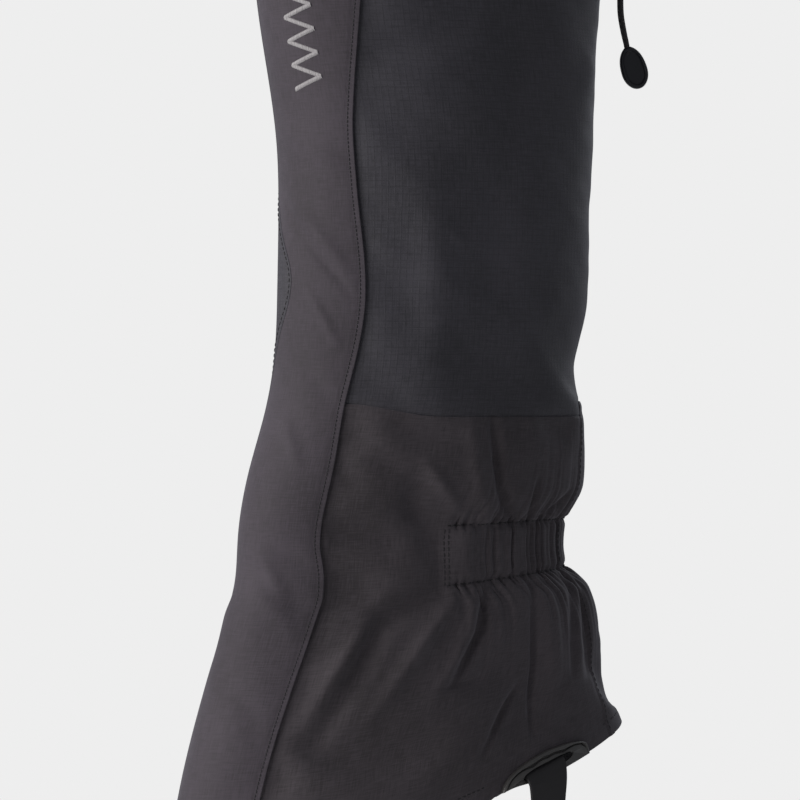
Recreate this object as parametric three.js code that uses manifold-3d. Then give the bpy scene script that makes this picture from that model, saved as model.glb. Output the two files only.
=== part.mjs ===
// A mountaineering gaiter for the left leg, standing open as if round a leg and boot.
// Units are millimetres. +Z is up, -Y is the toe side, +X is the outer side of the leg.
// The origin is the middle of the instep strap's underside, below the arch of the boot.
import * as THREE from "three";
import { mergeVertices } from "three/addons/utils/BufferGeometryUtils.js";
import Module from "manifold-3d";

const wasm = await Module();
wasm.setup();

// ---------------------------------------------------------------- driving dimensions

const HEM = 47; // mean height of the bottom hem above the strap's underside
const TOP = 474; // height of the top rim
const SEAM_OUTER = 238; // top of the hard-wearing lower fabric, outer side
const SEAM_INNER = 245; // the same on the inner side, which is cut higher
const ANKLE = { low: 157, high: 185 }; // the elastic tunnel at the back of the ankle
const TUNNEL = { low: 452, wall: 1, roof: 2 }; // the folded drawcord tunnel at the top
const BACK_SEAM = 150; // degrees round from the toe side
const FABRIC = 1; // one sewn ply
const GAP = 0.3; // clearance between neighbouring pieces
const LOOSE = 0.6; // clearance between plies that lie on each other
const OPENING = { inner: -8, outer: 6 }; // arc positions of the two edges of the front opening
const GUSSET = { inner: -14, outer: 12 };
const FLAP = { gap: 4.2, thick: 1.2 };
const UNDER_FLAP = 0.5; // clearance between the flap and what is fixed to its inside
const STRIP = { width: 21, inset: 4, low: 84, high: 430, thick: 0.8 }; // hook and loop fastening
const SNAPS = { bottom: 66, top: 443, arc: 25.5 };
const PATCH = { angle: 118, length: 60, height: 14, corner: 11, thick: 2.2 };
const SLOT = { length: 34, height: 5.4, above: 5.5 }; // above the hem, in the patch
const STRAP = { top: 22, width: 20, thick: 1.8, legX: 50, tailX: 52.8, corner: 14, neck: 8 };
const BUCKLE = { top: 45, bottom: 21, width: 28, plate: 1.5, pinZ: 30.5, pinOut: 5.3, pinR: 1.3 };
const CORD_R = 1.25;
const EXIT_ANGLE = 165; // where the drawcord leaves its tunnel, in degrees
const LOCK = { radius: 6, closedEnd: -11.7, openEnd: 7.5, wall: 1.2, below: 8.5, travel: 3 };
const PULL = { length: 22, width: 12.5, thick: 4.6, below: 45 };

// Cross sections of the sleeve: mean height, fore-aft centre, fore-aft and sideways half axes,
// and slope, by which a ring drops towards the toe.
const SECTIONS = [
  { h: 47, cy: -54.5, a: 119.5, b: 50, k: 0.36 },
  { h: 86, cy: -55, a: 108.7, b: 48, k: 0.24 },
  { h: 120, cy: -50, a: 101.5, b: 45, k: 0.13 },
  { h: 146, cy: -47.6, a: 93.4, b: 42, k: 0.08 },
  { h: 157, cy: -51.4, a: 85.6, b: 40, k: 0.09 },
  { h: 185, cy: -50.8, a: 83.8, b: 40, k: 0.03 },
  { h: 205, cy: -44.4, a: 85.4, b: 44, k: 0 },
  { h: 239, cy: -39.3, a: 79.9, b: 47, k: 0 },
  { h: 262, cy: -38.7, a: 76.2, b: 48, k: 0 },
  { h: 291, cy: -35.2, a: 78.2, b: 50, k: 0 },
  { h: 362, cy: -33.1, a: 79.1, b: 51, k: 0 },
  { h: 434, cy: -36.4, a: 86.9, b: 53, k: 0 },
  { h: 474, cy: -36.8, a: 89.1, b: 54, k: 0 },
];
// The heights at which every ply bends, so that plies over each other stay parallel.
const RINGS = [66, 86, 104, 124, 146, 157, 171, 185, 205, 222, 241, 262, 291, 326, 362, 398, 434];
const TOE_EASE = 0.35; // the share of the drop that the front of a ring gives back
// The storm flap's sewn root and free edge, as arc lengths from the toe line at each height.
const FLAP_LINES = [
  { h: 47, root: -14, edge: 36 },
  { h: 100, root: -14, edge: 38.5 },
  { h: 135, root: -14, edge: 40.3 },
  { h: 165, root: -14, edge: 39.5 },
  { h: 180, root: -14, edge: 37 },
  { h: 210, root: -13, edge: 38 },
  { h: 243, root: -10.5, edge: 36.2 },
  { h: 293, root: -8, edge: 42 },
  { h: 345, root: -13, edge: 36.6 },
  { h: 375, root: -14.5, edge: 36.6 },
  { h: 434, root: -15, edge: 48.5 },
  { h: 474, root: -15, edge: 52.5 },
];

const COLOURS = {
  ripstop: [0x3a3a40, 0.75, 0],
  canvas: [0x46424a, 0.85, 0],
  tape: [0x222226, 0.9, 0],
  rubber: [0x242224, 0.55, 0],
  plastic: [0x1d1d20, 0.45, 0],
  metal: [0x8d9095, 0.35, 1],
  thread: [0xb4b0b2, 0.7, 0],
};

// ---------------------------------------------------------------- the sleeve's surface

const rad = (degrees) => (degrees * Math.PI) / 180;

// A smooth curve through the rows of a table, as a cubic between neighbouring rows.
function readTable(rows, h, key) {
  let i = 0;
  while (i < rows.length - 2 && h > rows[i + 1].h) i += 1;
  const slope = (j) => {
    const low = rows[Math.max(j - 1, 0)];
    const high = rows[Math.min(j + 1, rows.length - 1)];
    return (high[key] - low[key]) / (high.h - low.h);
  };
  const span = rows[i + 1].h - rows[i].h;
  const s = THREE.MathUtils.clamp((h - rows[i].h) / span, 0, 1);
  const s2 = s * s;
  const s3 = s2 * s;
  return (
    (2 * s3 - 3 * s2 + 1) * rows[i][key] +
    (s3 - 2 * s2 + s) * span * slope(i) +
    (3 * s2 - 2 * s3) * rows[i + 1][key] +
    (s3 - s2) * span * slope(i + 1)
  );
}

// The sleeve's outside at mean height h and angle t, where t = 0 is the toe line.
function onSleeve(h, t) {
  const [cy, a, b, k] = ["cy", "a", "b", "k"].map((key) => readTable(SECTIONS, h, key));
  const fore = a * Math.cos(t);
  const ease = 1 - TOE_EASE * Math.max(0, Math.cos(t));
  return new THREE.Vector3(b * Math.sin(t), cy - fore, h - k * fore * ease);
}

function normalAt(h, t) {
  const step = 0.01;
  const along = onSleeve(h, t + step).sub(onSleeve(h, t - step));
  const upper = Math.min(h + 1, TOP);
  const up = onSleeve(upper, t).sub(onSleeve(upper - 2, t));
  return along.cross(up).normalize();
}

const skin = (h, t, offset) => onSleeve(h, t).addScaledVector(normalAt(h, t), offset);

// The angle at which the ring at height h has run an arc length from the toe line.
function angleAt(h, arc) {
  const step = rad(1) * Math.sign(arc);
  let t = 0;
  let run = 0;
  while (run < Math.abs(arc)) {
    const piece = onSleeve(h, t + step).distanceTo(onSleeve(h, t));
    const share = Math.min(1, (Math.abs(arc) - run) / piece);
    run += piece;
    t += step * share;
  }
  return t;
}

const flapRoot = (h) => readTable(FLAP_LINES, h, "root");
const flapEdge = (h) => readTable(FLAP_LINES, h, "edge");
const atArc = (arc) => (h) => angleAt(h, typeof arc === "function" ? arc(h) : arc);
const atAngle = (degrees) => () => rad(degrees);

// ---------------------------------------------------------------- geometry helpers

// A closed strip of the sleeve: a profile of [height, offset] points carried from one angle to
// another. The profile runs along one face and back along the other, so that each point has its
// partner across the ply, and the two ends close with a ladder of quads.
function band(profile, from, to, steps) {
  const positions = [];
  for (let i = 0; i <= steps; i += 1) {
    for (const [h, offset] of profile) {
      const t = THREE.MathUtils.lerp(from(h), to(h), i / steps);
      positions.push(...skin(h, t, offset).toArray());
    }
  }
  const n = profile.length;
  const index = [];
  const quad = (a, b, c, d) => index.push(a, b, c, a, c, d);
  for (let i = 0; i < steps; i += 1) {
    for (let j = 0; j < n; j += 1) {
      const [p, q] = [i * n + j, i * n + ((j + 1) % n)];
      quad(p, p + n, q + n, q);
    }
  }
  const end = steps * n;
  for (let j = 0; j < n / 2 - 1; j += 1) {
    const [near, far] = [j, n - 1 - j];
    quad(near, near + 1, far - 1, far);
    quad(end + far, end + far - 1, end + near + 1, end + near);
  }
  return facingOut(positions, index);
}

function facingOut(positions, index) {
  const geometry = new THREE.BufferGeometry();
  geometry.setAttribute("position", new THREE.Float32BufferAttribute(positions, 3));
  const [p, q, r] = [new THREE.Vector3(), new THREE.Vector3(), new THREE.Vector3()];
  let volume = 0;
  for (let i = 0; i < index.length; i += 3) {
    p.fromArray(positions, 3 * index[i]);
    q.fromArray(positions, 3 * index[i + 1]);
    r.fromArray(positions, 3 * index[i + 2]);
    volume += p.dot(q.cross(r));
  }
  geometry.setIndex(volume > 0 ? index : [...index].reverse());
  return geometry;
}

// The profile of one ply between two heights, at an offset from the sleeve's surface.
function ply(low, high, offset, thick) {
  const between = RINGS.filter((h) => h > low + 3 && h < high - 3);
  const heights = [low, ...between, high];
  const outer = heights.map((h) => [h, offset + thick]);
  const inner = heights.map((h) => [h, offset]).reverse();
  return [...outer, ...inner];
}

function solid(geometry) {
  const bare = geometry.clone();
  bare.deleteAttribute("normal");
  bare.deleteAttribute("uv");
  const merged = mergeVertices(bare, 1e-4);
  const vertProperties = new Float32Array(merged.attributes.position.array);
  const triVerts = new Uint32Array(merged.index.array);
  return new wasm.Manifold(new wasm.Mesh({ numProp: 3, vertProperties, triVerts }));
}

function geometryOf(manifold) {
  const made = manifold.getMesh();
  const geometry = new THREE.BufferGeometry();
  geometry.setAttribute("position", new THREE.BufferAttribute(made.vertProperties, 3));
  geometry.setIndex(new THREE.BufferAttribute(made.triVerts, 1));
  return geometry;
}

const join = (first, ...others) =>
  geometryOf(others.reduce((whole, next) => whole.add(solid(next)), solid(first)));
const cut = (first, ...others) =>
  geometryOf(others.reduce((whole, next) => whole.subtract(solid(next)), solid(first)));
const meet = (first, second) => geometryOf(solid(first).intersect(solid(second)));

function box(x, y, z, cx = 0, cy = 0, cz = 0) {
  return new THREE.BoxGeometry(x, y, z).translate(cx, cy, cz);
}

// A turned piece about +Z, from [radius, height] points that start and end on the axis or close.
function turned(points, segments = 20) {
  return new THREE.LatheGeometry(points.map(([r, z]) => new THREE.Vector2(r, z)), segments)
    .rotateX(Math.PI / 2);
}

// A six-sided tube through points, closed at both ends.
function cord(points, radius, steps) {
  const circle = new THREE.Shape().absarc(0, 0, radius, 0, 2 * Math.PI);
  return new THREE.ExtrudeGeometry(circle, {
    steps,
    curveSegments: 3,
    extrudePath: new THREE.CatmullRomCurve3(points),
  });
}

// An outline of straight and round stretches, pushed through a thickness centred on z = 0.
function plate(shape, thick, curveSegments = 4) {
  return new THREE.ExtrudeGeometry(shape, { depth: thick, bevelEnabled: false, curveSegments })
    .translate(0, 0, -thick / 2);
}

function oval(length, height) {
  const [x, r] = [length / 2 - height / 2, height / 2];
  const shape = new THREE.Shape();
  shape.absarc(x, 0, r, -Math.PI / 2, Math.PI / 2);
  shape.absarc(-x, 0, r, Math.PI / 2, (3 * Math.PI) / 2);
  return shape;
}

// Turns geometry from a local frame (x along the ring, y up, z outwards) to a place on the sleeve.
function placement(h, t, offset) {
  const out = normalAt(h, t);
  const along = onSleeve(h, t + 0.01).sub(onSleeve(h, t - 0.01)).normalize();
  const up = out.clone().cross(along);
  return new THREE.Matrix4().makeBasis(along, up, out).setPosition(skin(h, t, offset));
}

const gaiter = new THREE.Group();

function add(name, geometry, finish) {
  const [color, roughness, metalness] = COLOURS[finish];
  const mesh = new THREE.Mesh(
    geometry,
    new THREE.MeshStandardMaterial({ color, roughness, metalness }),
  );
  mesh.name = name;
  gaiter.add(mesh);
  return mesh;
}

// ---------------------------------------------------------------- sleeve panels

const outerFront = atArc(OPENING.outer);
const innerFront = atArc(OPENING.inner);
const backOuter = atAngle(BACK_SEAM);
const backInner = atAngle(BACK_SEAM + 0.5 - 360);
const panelTop = TUNNEL.low + 10;

// The middle of the strap slot, in the ring direction, up and out, on one side of the hem.
const slotPlace = (side) => placement(HEM + SLOT.above, side * rad(PATCH.angle), 0);
const slotCutter = (side) => plate(oval(SLOT.length, SLOT.height), 16).applyMatrix4(slotPlace(side));

function addPanels() {
  const lowOuter = ply(HEM, SEAM_OUTER - GAP, 0, FABRIC);
  const lowInner = ply(HEM, SEAM_INNER - GAP, 0, FABRIC);
  const upOuter = ply(SEAM_OUTER, panelTop, 0, FABRIC);
  const upInner = ply(SEAM_INNER, panelTop, 0, FABRIC);
  const outerLower = band(lowOuter, outerFront, backOuter, 16);
  const innerLower = band(lowInner, innerFront, backInner, 22);
  add("outer_upper_panel", band(upOuter, outerFront, backOuter, 14), "ripstop");
  add("inner_upper_panel", band(upInner, innerFront, backInner, 20), "ripstop");
  add("outer_lower_panel", cut(outerLower, slotCutter(1)), "canvas");
  add("inner_lower_panel", cut(innerLower, slotCutter(-1)), "canvas");
}

// Everything sewn inside: one ply against the panels, and a second over the ankle elastic.
function addLinings() {
  const inside = -LOOSE - FABRIC;
  const lining = (low, high) => ply(low, high, inside, FABRIC);
  const seam = [atAngle(BACK_SEAM - 4), atAngle(BACK_SEAM + 4)];
  const facing = lining(HEM, HEM + 12);
  const innerEnd = (h) => 2 * Math.PI + angleAt(h, GUSSET.inner - 1);
  const gusset = lining(HEM + 1, panelTop);
  add("front_gusset", band(gusset, atArc(GUSSET.inner), atArc(GUSSET.outer), 6), "canvas");
  add("back_seam_tape_lower", band(lining(HEM + 14, ANKLE.low - 4), ...seam, 2), "tape");
  add("back_seam_tape_upper", band(lining(ANKLE.high + 4, TUNNEL.low - 2), ...seam, 2), "tape");
  add("hem_facing_outer", band(facing, atArc(GUSSET.outer + 1), atAngle(103), 10), "tape");
  add("hem_facing_back", band(facing, atAngle(140), atAngle(220), 10), "tape");
  add("hem_facing_inner", band(facing, atAngle(257), innerEnd, 10), "tape");
  const elastic = lining(ANKLE.low + 3, ANKLE.high - 3);
  add("ankle_elastic", band(elastic, atAngle(91), atAngle(269), 18), "tape");
  const tunnel = ply(ANKLE.low + 1, ANKLE.high - 1, 2 * inside, FABRIC);
  add("ankle_tunnel_lining", band(tunnel, atAngle(89), atAngle(271), 18), "canvas");
}

// ---------------------------------------------------------------- top tunnel and drawcord

const cordHeight = (TUNNEL.low + TOP) / 2 + 1;
const cordDepth = -0.55;
const exitPlace = placement(cordHeight, rad(EXIT_ANGLE), 0);
const EYELET = { apart: 4.2, hole: 3.1, inner: 1.9, outer: 3.8, seat: 2.8 };
const eyeletPlace = (side) =>
  exitPlace.clone().multiply(new THREE.Matrix4().makeTranslation(EYELET.apart * side, 0, 0));
// Where the two leads of the cord hang from, and the frame of everything that hangs there:
// x round the sleeve, y up the cord, z away from the sleeve.
const HANG = { down: 7, out: 9.6, tilt: rad(5.6) };
const hangPlace = exitPlace
  .clone()
  .multiply(new THREE.Matrix4().makeTranslation(0, -HANG.down, HANG.out))
  .multiply(new THREE.Matrix4().makeRotationX(-HANG.tilt));
const lockHalf = 2.2; // half the distance between the two cords in the lock

function addTopTunnel() {
  const { low, wall, roof } = TUNNEL;
  const [out, inside] = [FABRIC + LOOSE, -LOOSE - FABRIC - LOOSE];
  const fold = [
    [low, out + wall],
    [TOP + 1, out + wall],
    [TOP + 1, inside - wall],
    [low, inside - wall],
    [low, inside],
    [TOP - roof, inside],
    [TOP - roof, out],
    [low, out],
  ];
  const ring = band(fold, outerFront, (h) => 2 * Math.PI + innerFront(h), 40);
  const drill = () => turned([[0, 0.6], [EYELET.hole, 0.6], [EYELET.hole, 9], [0, 9]], 12);
  const holes = [-1, 1].map((side) => drill().applyMatrix4(eyeletPlace(side)));
  const above = box(200, 300, 10, 0, -40, TOP + 5);
  add("top_hem_tunnel", cut(ring, above, ...holes), "canvas");
}

function addDrawcord() {
  const bend = 3;
  const run = (from, to, count) =>
    Array.from({ length: count + 1 }, (_, i) =>
      skin(cordHeight, THREE.MathUtils.lerp(from, to, i / count), cordDepth),
    );
  // The cord turns out through its eyelet, then down to the lock.
  const lead = (side) => {
    const turn = [30, 60, 90].map((degrees) => [
      EYELET.apart + bend - bend * Math.sin(rad(degrees)),
      0,
      cordDepth + bend - bend * Math.cos(rad(degrees)),
    ]);
    const fall = [
      [EYELET.apart, 0, 4.5],
      [lockHalf + 0.6, -2, 7.8],
      [lockHalf, -HANG.down + 0.8, HANG.out],
    ];
    return [...turn, ...fall].map(([x, y, z]) =>
      new THREE.Vector3(side * x, y, z).applyMatrix4(exitPlace),
    );
  };
  const beside = rad(9);
  const ends = [angleAt(TOP, OPENING.outer + 4), 2 * Math.PI + angleAt(TOP, OPENING.inner - 4)];
  const outer = run(ends[0], rad(EXIT_ANGLE) - beside, 14);
  const inner = run(ends[1], rad(EXIT_ANGLE) + beside, 18);
  add("drawcord_outer_run", cord([...outer, ...lead(-1)], CORD_R, 34), "tape");
  add("drawcord_inner_run", cord([...inner, ...lead(1)], CORD_R, 42), "tape");
  const { inner: bore, outer: rim, seat } = EYELET;
  const ring = [
    [bore, seat],
    [rim, seat],
    [rim - 0.3, seat + 0.7],
    [bore + 0.5, seat + 0.8],
    [bore, seat + 0.5],
    [bore, seat],
  ];
  add("eyelet_outer", turned(ring, 14).applyMatrix4(eyeletPlace(-1)), "metal");
  add("eyelet_inner", turned(ring, 14).applyMatrix4(eyeletPlace(1)), "metal");
}

// The loop of cord below the lock. Its two strands turn a quarter round each other on the way
// down, and close in a bend inside the pull.
function addHangingCord() {
  const close = 1.5;
  const straight = 37;
  const strand = (side) => [
    [side * lockHalf, 0, 0],
    [side * lockHalf, -straight / 3, 0],
    [side * lockHalf, (-2 * straight) / 3, 0],
    [side * lockHalf, -straight, 0],
    [side * lockHalf * 0.6, -straight - 5, -side * close * 0.7],
    [0, -PULL.below - 1, -side * close],
  ];
  const bottom = [[0, -PULL.below - 3.2, 0]];
  const path = [...strand(-1), ...bottom, ...strand(1).reverse()].map(([x, y, z]) =>
    new THREE.Vector3(x, y, z).applyMatrix4(hangPlace),
  );
  add("hanging_cord", cord(path, CORD_R, 36), "tape");
}

// A flat drop with a raised rim, its face turned along the cord's ring, moulded over the bend.
function addCordPull() {
  const { length, width, thick } = PULL;
  const egg = (inset) => {
    const shape = new THREE.Shape();
    const [half, foot] = [width / 2 - inset, length - width / 2];
    shape.moveTo(2.6 - inset * 0.5, -inset);
    shape.quadraticCurveTo(half, -length * 0.3, half, -foot);
    shape.absarc(0, -foot, half, 0, -Math.PI, true);
    shape.quadraticCurveTo(-half, -length * 0.3, -2.6 + inset * 0.5, -inset);
    return shape;
  };
  const hollow = (side) => plate(egg(2), 2).translate(0, 0, side * thick * 0.5);
  const lift = plate(egg(0), thick);
  const dished = cut(lift, ...[-1, 1].map((side) => trimmed(hollow(side), -7)));
  const mouth = box(6.4, 6, 3.2, 0, -2, 0);
  const turnedFlat = cut(dished, mouth).rotateY(Math.PI / 2).translate(0, -PULL.below, 0);
  add("cord_pull", turnedFlat.applyMatrix4(hangPlace), "plastic");
}

// Keeps only what lies below a height, in a piece's own frame.
const trimmed = (geometry, y) => cut(geometry, box(40, 40, 40, 0, y + 20, 0));

function addCordLock() {
  const { radius, closedEnd, openEnd, wall, below, travel } = LOCK;
  const place = hangPlace.clone().multiply(new THREE.Matrix4().makeTranslation(0, -below, 0));
  // Turned pieces are drawn on their axis, then laid along x with the button at +x.
  const lay = (points) => turned(points, 20).rotateY(Math.PI / 2);
  const bore = 3.9;
  const inner = closedEnd + wall;
  const barrel = lay([
    [0, closedEnd],
    [radius - 1.6, closedEnd],
    [radius, closedEnd + 1.8],
    [radius, openEnd - 0.8],
    [radius - 0.8, openEnd],
    [bore, openEnd],
    [bore, inner],
    [0, inner],
  ]);
  const cords = 2 * (lockHalf + CORD_R + GAP);
  add("lock_barrel", cut(barrel, box(cords, 20, 3.4)).applyMatrix4(place), "plastic");
  const pinch = -cords / 2;
  const stem = [
    [0, pinch - 1.4],
    [bore - 0.4, pinch - 1.4],
    [bore - 0.4, openEnd + travel + 0.6],
    [radius - 0.9, openEnd + travel + 1],
    [radius - 0.6, openEnd + travel + 2.6],
    [radius - 1.6, openEnd + travel + 3.6],
    [0, openEnd + travel + 3.9],
  ];
  const window = box(cords + travel, 20, 3.1, travel / 2, 0, 0);
  add("lock_plunger", cut(lay(stem), window).applyMatrix4(place), "plastic");
  const coilStart = inner + 2 * GAP;
  const coilLength = pinch - 1.4 - 2 * GAP - coilStart;
  const coil = spiral(2.4, 0.4, coilLength - 0.4, 3).rotateY(Math.PI / 2);
  add("lock_spring", coil.translate(coilStart + 0.2, 0, 0).applyMatrix4(place), "metal");
}

// A coil along +z.
function spiral(radius, wire, length, turns) {
  const points = Array.from({ length: turns * 8 + 1 }, (_, i) => {
    const angle = (i * Math.PI) / 4;
    const along = (length * i) / (turns * 8);
    return new THREE.Vector3(radius * Math.cos(angle), radius * Math.sin(angle), along);
  });
  return cord(points, wire, turns * 10);
}

// ---------------------------------------------------------------- front closure

function addFlap() {
  const { gap, thick } = FLAP;
  const edge = (arc) => (h) => flapEdge(h) - arc;
  const [stripOut, stripIn] = [atArc(edge(STRIP.inset)), atArc(edge(STRIP.inset + STRIP.width))];
  const strip = (offset) => ply(STRIP.low, STRIP.high, offset, STRIP.thick);
  add("front_flap", band(ply(HEM, TOP, gap, thick), atArc(flapRoot), atArc(flapEdge), 10), "canvas");
  add("loop_strip", band(strip(FABRIC + LOOSE), stripIn, stripOut, 4), "tape");
  add("hook_strip", band(strip(gap - UNDER_FLAP - STRIP.thick), stripIn, stripOut, 4), "tape");
  const seam = ply(HEM, TUNNEL.low - GAP, FABRIC + LOOSE, 1.6);
  const beside = (arc) => atArc((h) => flapRoot(h) - arc);
  add("flap_root_binding", band(seam, beside(4), beside(0.6), 2), "tape");
}

// Each press stud: a cap outside the flap, a socket inside it, and a stud on the panel below.
// Their profiles are [radius, height] points above the surface that each is fixed to.
function addSnaps() {
  const cap = [[0, 0], [6, 0], [6, 0.6], [4.6, 1.4], [0, 1.6]];
  const socket = [[2.3, -0.7], [4.8, -0.7], [4.8, 0], [2.3, 0], [2.3, -0.7]];
  const stud = [[0, 0], [4.6, 0], [4.6, 0.4], [1.7, 0.5], [1.5, 0.9], [0, 0.9]];
  const parts = [
    ["snap_cap_", cap, FLAP.gap + FLAP.thick + LOOSE],
    ["snap_socket_", socket, FLAP.gap - UNDER_FLAP],
    ["snap_stud_", stud, FABRIC + LOOSE],
  ];
  for (const place of ["bottom", "top"]) {
    const h = SNAPS[place];
    for (const [name, profile, offset] of parts) {
      const fixed = placement(h, angleAt(h, SNAPS.arc), offset);
      add(name + place, turned(profile, 16).applyMatrix4(fixed), "metal");
    }
  }
}

// A plain zigzag of satin stitch, running down the flap.
function addEmbroidery() {
  const [peaks, pitch, reach, stroke] = [4, 5.5, 7, 1.1];
  const ridge = (shift) =>
    Array.from({ length: 2 * peaks + 1 }, (_, i) => [
      (i % 2 ? reach : -reach) + shift,
      (i - peaks) * pitch,
    ]);
  const outline = [...ridge(stroke), ...ridge(-stroke).reverse()];
  const shape = new THREE.Shape(outline.map(([x, y]) => new THREE.Vector2(x, y)));
  const h = 411;
  const place = placement(h, angleAt(h, 18), FLAP.gap + FLAP.thick + 1);
  add("embroidered_mark", plate(shape, 0.5).applyMatrix4(place), "thread");
}

// The hook that catches the boot laces, riveted to the gusset at the toe end of the hem.
function addLaceHook() {
  const place = placement(HEM + 10, angleAt(HEM + 10, -1), 0);
  const badge = plate(oval(12, 9), 0.9).rotateZ(Math.PI / 2).translate(0, 0, 1);
  const bends = [
    [0, -2, 1.4],
    [0, -9, 1.5],
    [0, -16, 1],
    [0, -19.5, -3],
    [0, -17.5, -7.5],
    [0, -13, -8.5],
  ];
  const wire = cord(bends.map(([x, y, z]) => new THREE.Vector3(x, y, z)), 1.1, 14);
  add("lace_hook", join(badge, wire).applyMatrix4(place), "metal");
  const head = [[0, 1.8], [2, 1.8], [1.9, 2.3], [1, 2.7], [0, 2.8]];
  add("lace_hook_rivet", turned(head, 12).translate(0, 3.4, 0).applyMatrix4(place), "metal");
}

// ---------------------------------------------------------------- instep strap and buckle

function addPatches() {
  const { length, height, corner, thick } = PATCH;
  const shape = new THREE.Shape();
  const [x, foot, top] = [length / 2, -SLOT.above + 0.4, height - SLOT.above];
  shape.moveTo(-x, foot);
  shape.lineTo(x, foot);
  shape.absarc(x - corner, top - corner, corner, 0, Math.PI / 2);
  shape.absarc(-x + corner, top - corner, corner, Math.PI / 2, Math.PI);
  for (const [side, name] of [[1, "outer_strap_patch"], [-1, "inner_strap_patch"]]) {
    const mid = rad(PATCH.angle);
    const reach = rad(26);
    const sheet = band(
      ply(HEM, HEM + 26, FABRIC + LOOSE, thick),
      () => side * (mid - reach),
      () => side * (mid + reach),
      8,
    );
    const outline = plate(shape, 60).applyMatrix4(slotPlace(side));
    add(name, cut(meet(sheet, outline), slotCutter(side)), "rubber");
  }
}

// A flat strip through stations, each with its place, its width direction and its width.
function ribbon(stations, thick) {
  const positions = [];
  for (const [i, { at, across, width }] of stations.entries()) {
    const next = stations[Math.min(i + 1, stations.length - 1)].at;
    const last = stations[Math.max(i - 1, 0)].at;
    const out = across.clone().cross(next.clone().sub(last)).normalize().multiplyScalar(thick / 2);
    const half = across.clone().multiplyScalar(width / 2);
    for (const [u, v] of [[1, 1], [-1, 1], [-1, -1], [1, -1]]) {
      positions.push(...at.clone().addScaledVector(half, u).addScaledVector(out, v).toArray());
    }
  }
  const index = [0, 1, 2, 0, 2, 3];
  const end = 4 * (stations.length - 1);
  index.push(end, end + 2, end + 1, end, end + 3, end + 2);
  for (let i = 0; i < end; i += 4) {
    for (let j = 0; j < 4; j += 1) {
      const [p, q] = [i + j, i + ((j + 1) % 4)];
      index.push(p, p + 4, q, q, p + 4, q + 4);
    }
  }
  return facingOut(positions, index);
}

const slotMid = slotPlace(1);
const slotZ = slotMid.elements[14];
const slotNormal = new THREE.Vector3().setFromMatrixColumn(slotMid, 2).setZ(0).normalize();

// The width direction of a strap leg: along the sleeve above one height, straight fore and aft
// below another, and turning between them.
function legAcross(side, z, low, high) {
  const turn = THREE.MathUtils.smoothstep(z, low, high);
  return new THREE.Vector3(-side * slotNormal.y * turn, slotNormal.x, 0).normalize();
}

const station = (x, z, across, width) => ({ at: new THREE.Vector3(x, 0, z), across, width });

// The head behind the slot, and the narrow neck through it, on which the strap turns. Both lie
// along the slot, which slopes with the hem.
function anchorParts(side, thick) {
  const slope = Math.atan2(slotMid.elements[2], slotMid.elements[1]);
  const neck = box(12.5, STRAP.neck, thick)
    .rotateX(slope)
    .translate(side * (STRAP.legX - 5.8), 0, slotZ);
  const head = plate(oval(26, 8), 1.6)
    .rotateX(Math.PI / 2)
    .rotateZ(Math.PI / 2 + side * Math.atan2(slotNormal.y, slotNormal.x))
    .rotateX(slope);
  return [neck, head.translate(side * (STRAP.legX - 10.4), 0, slotZ)];
}

function addStrap() {
  const { top, width, thick, legX, tailX, corner } = STRAP;
  const lowest = thick / 2;
  const stations = [];
  for (const z of [slotZ + 3, slotZ - 1, 66, 60, 54, 48, 42, 36, 26]) {
    const wide = THREE.MathUtils.mapLinear(Math.max(z, 36), 36, slotZ, width, top);
    stations.push(station(legX, z, legAcross(1, z, 36, 60), wide));
  }
  const level = new THREE.Vector3(0, 1, 0);
  for (let i = 0; i <= 6; i += 1) {
    const turn = (i * Math.PI) / 12;
    const x = legX - corner + corner * Math.cos(turn);
    stations.push(station(x, lowest + corner - corner * Math.sin(turn), level, width));
  }
  const bend = stations.slice(-7);
  for (const { at } of [...bend].reverse()) {
    stations.push(station(-at.x, at.z, level, width));
  }
  // Up the inner side, through the buckle, and on as a free tail.
  const inStrap = legX + 0.3;
  for (const [x, z] of [[inStrap, 20], [inStrap, 33], [tailX, 39.5], [tailX, 56]]) {
    stations.push(station(-x, z, level, width));
  }
  add("instep_strap", join(ribbon(stations, thick), ...anchorParts(1, thick)), "rubber");
}

function addBuckle() {
  const { top, bottom, width, plate: thickness, pinZ, pinOut, pinR } = BUCKLE;
  const level = new THREE.Vector3(0, 1, 0);
  const back = STRAP.legX + 0.3 - STRAP.thick / 2 - 0.4; // the strap side of the back plate
  const mid = back - thickness / 2;
  const tall = top - bottom;
  const backPlate = box(thickness, width, tall, -mid, 0, (top + bottom) / 2);
  const window = box(8, width - 8, 4.6, -mid, 0, top - 5.5);
  const ear = (side) => box(11.5, 1.5, 13, -mid - 5, side * (width / 2 - 0.75), pinZ + 0.5);
  const across = (radius, length) =>
    new THREE.CylinderGeometry(radius, radius, length, 20).translate(-back - pinOut, 0, pinZ);
  const pinHole = across(pinR + GAP, width + 10);
  const frame = join(cut(backPlate, window), ear(1), ear(-1));
  add("buckle_frame", cut(frame, pinHole), "metal");
  add("buckle_pin", across(pinR, width + 2), "metal");
  addCam(back + pinOut, pinZ, pinR, width - 2 * 1.5 - 1, back + 0.4 + STRAP.thick);
  addWebbing(mid, thickness, top, level);
}

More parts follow.
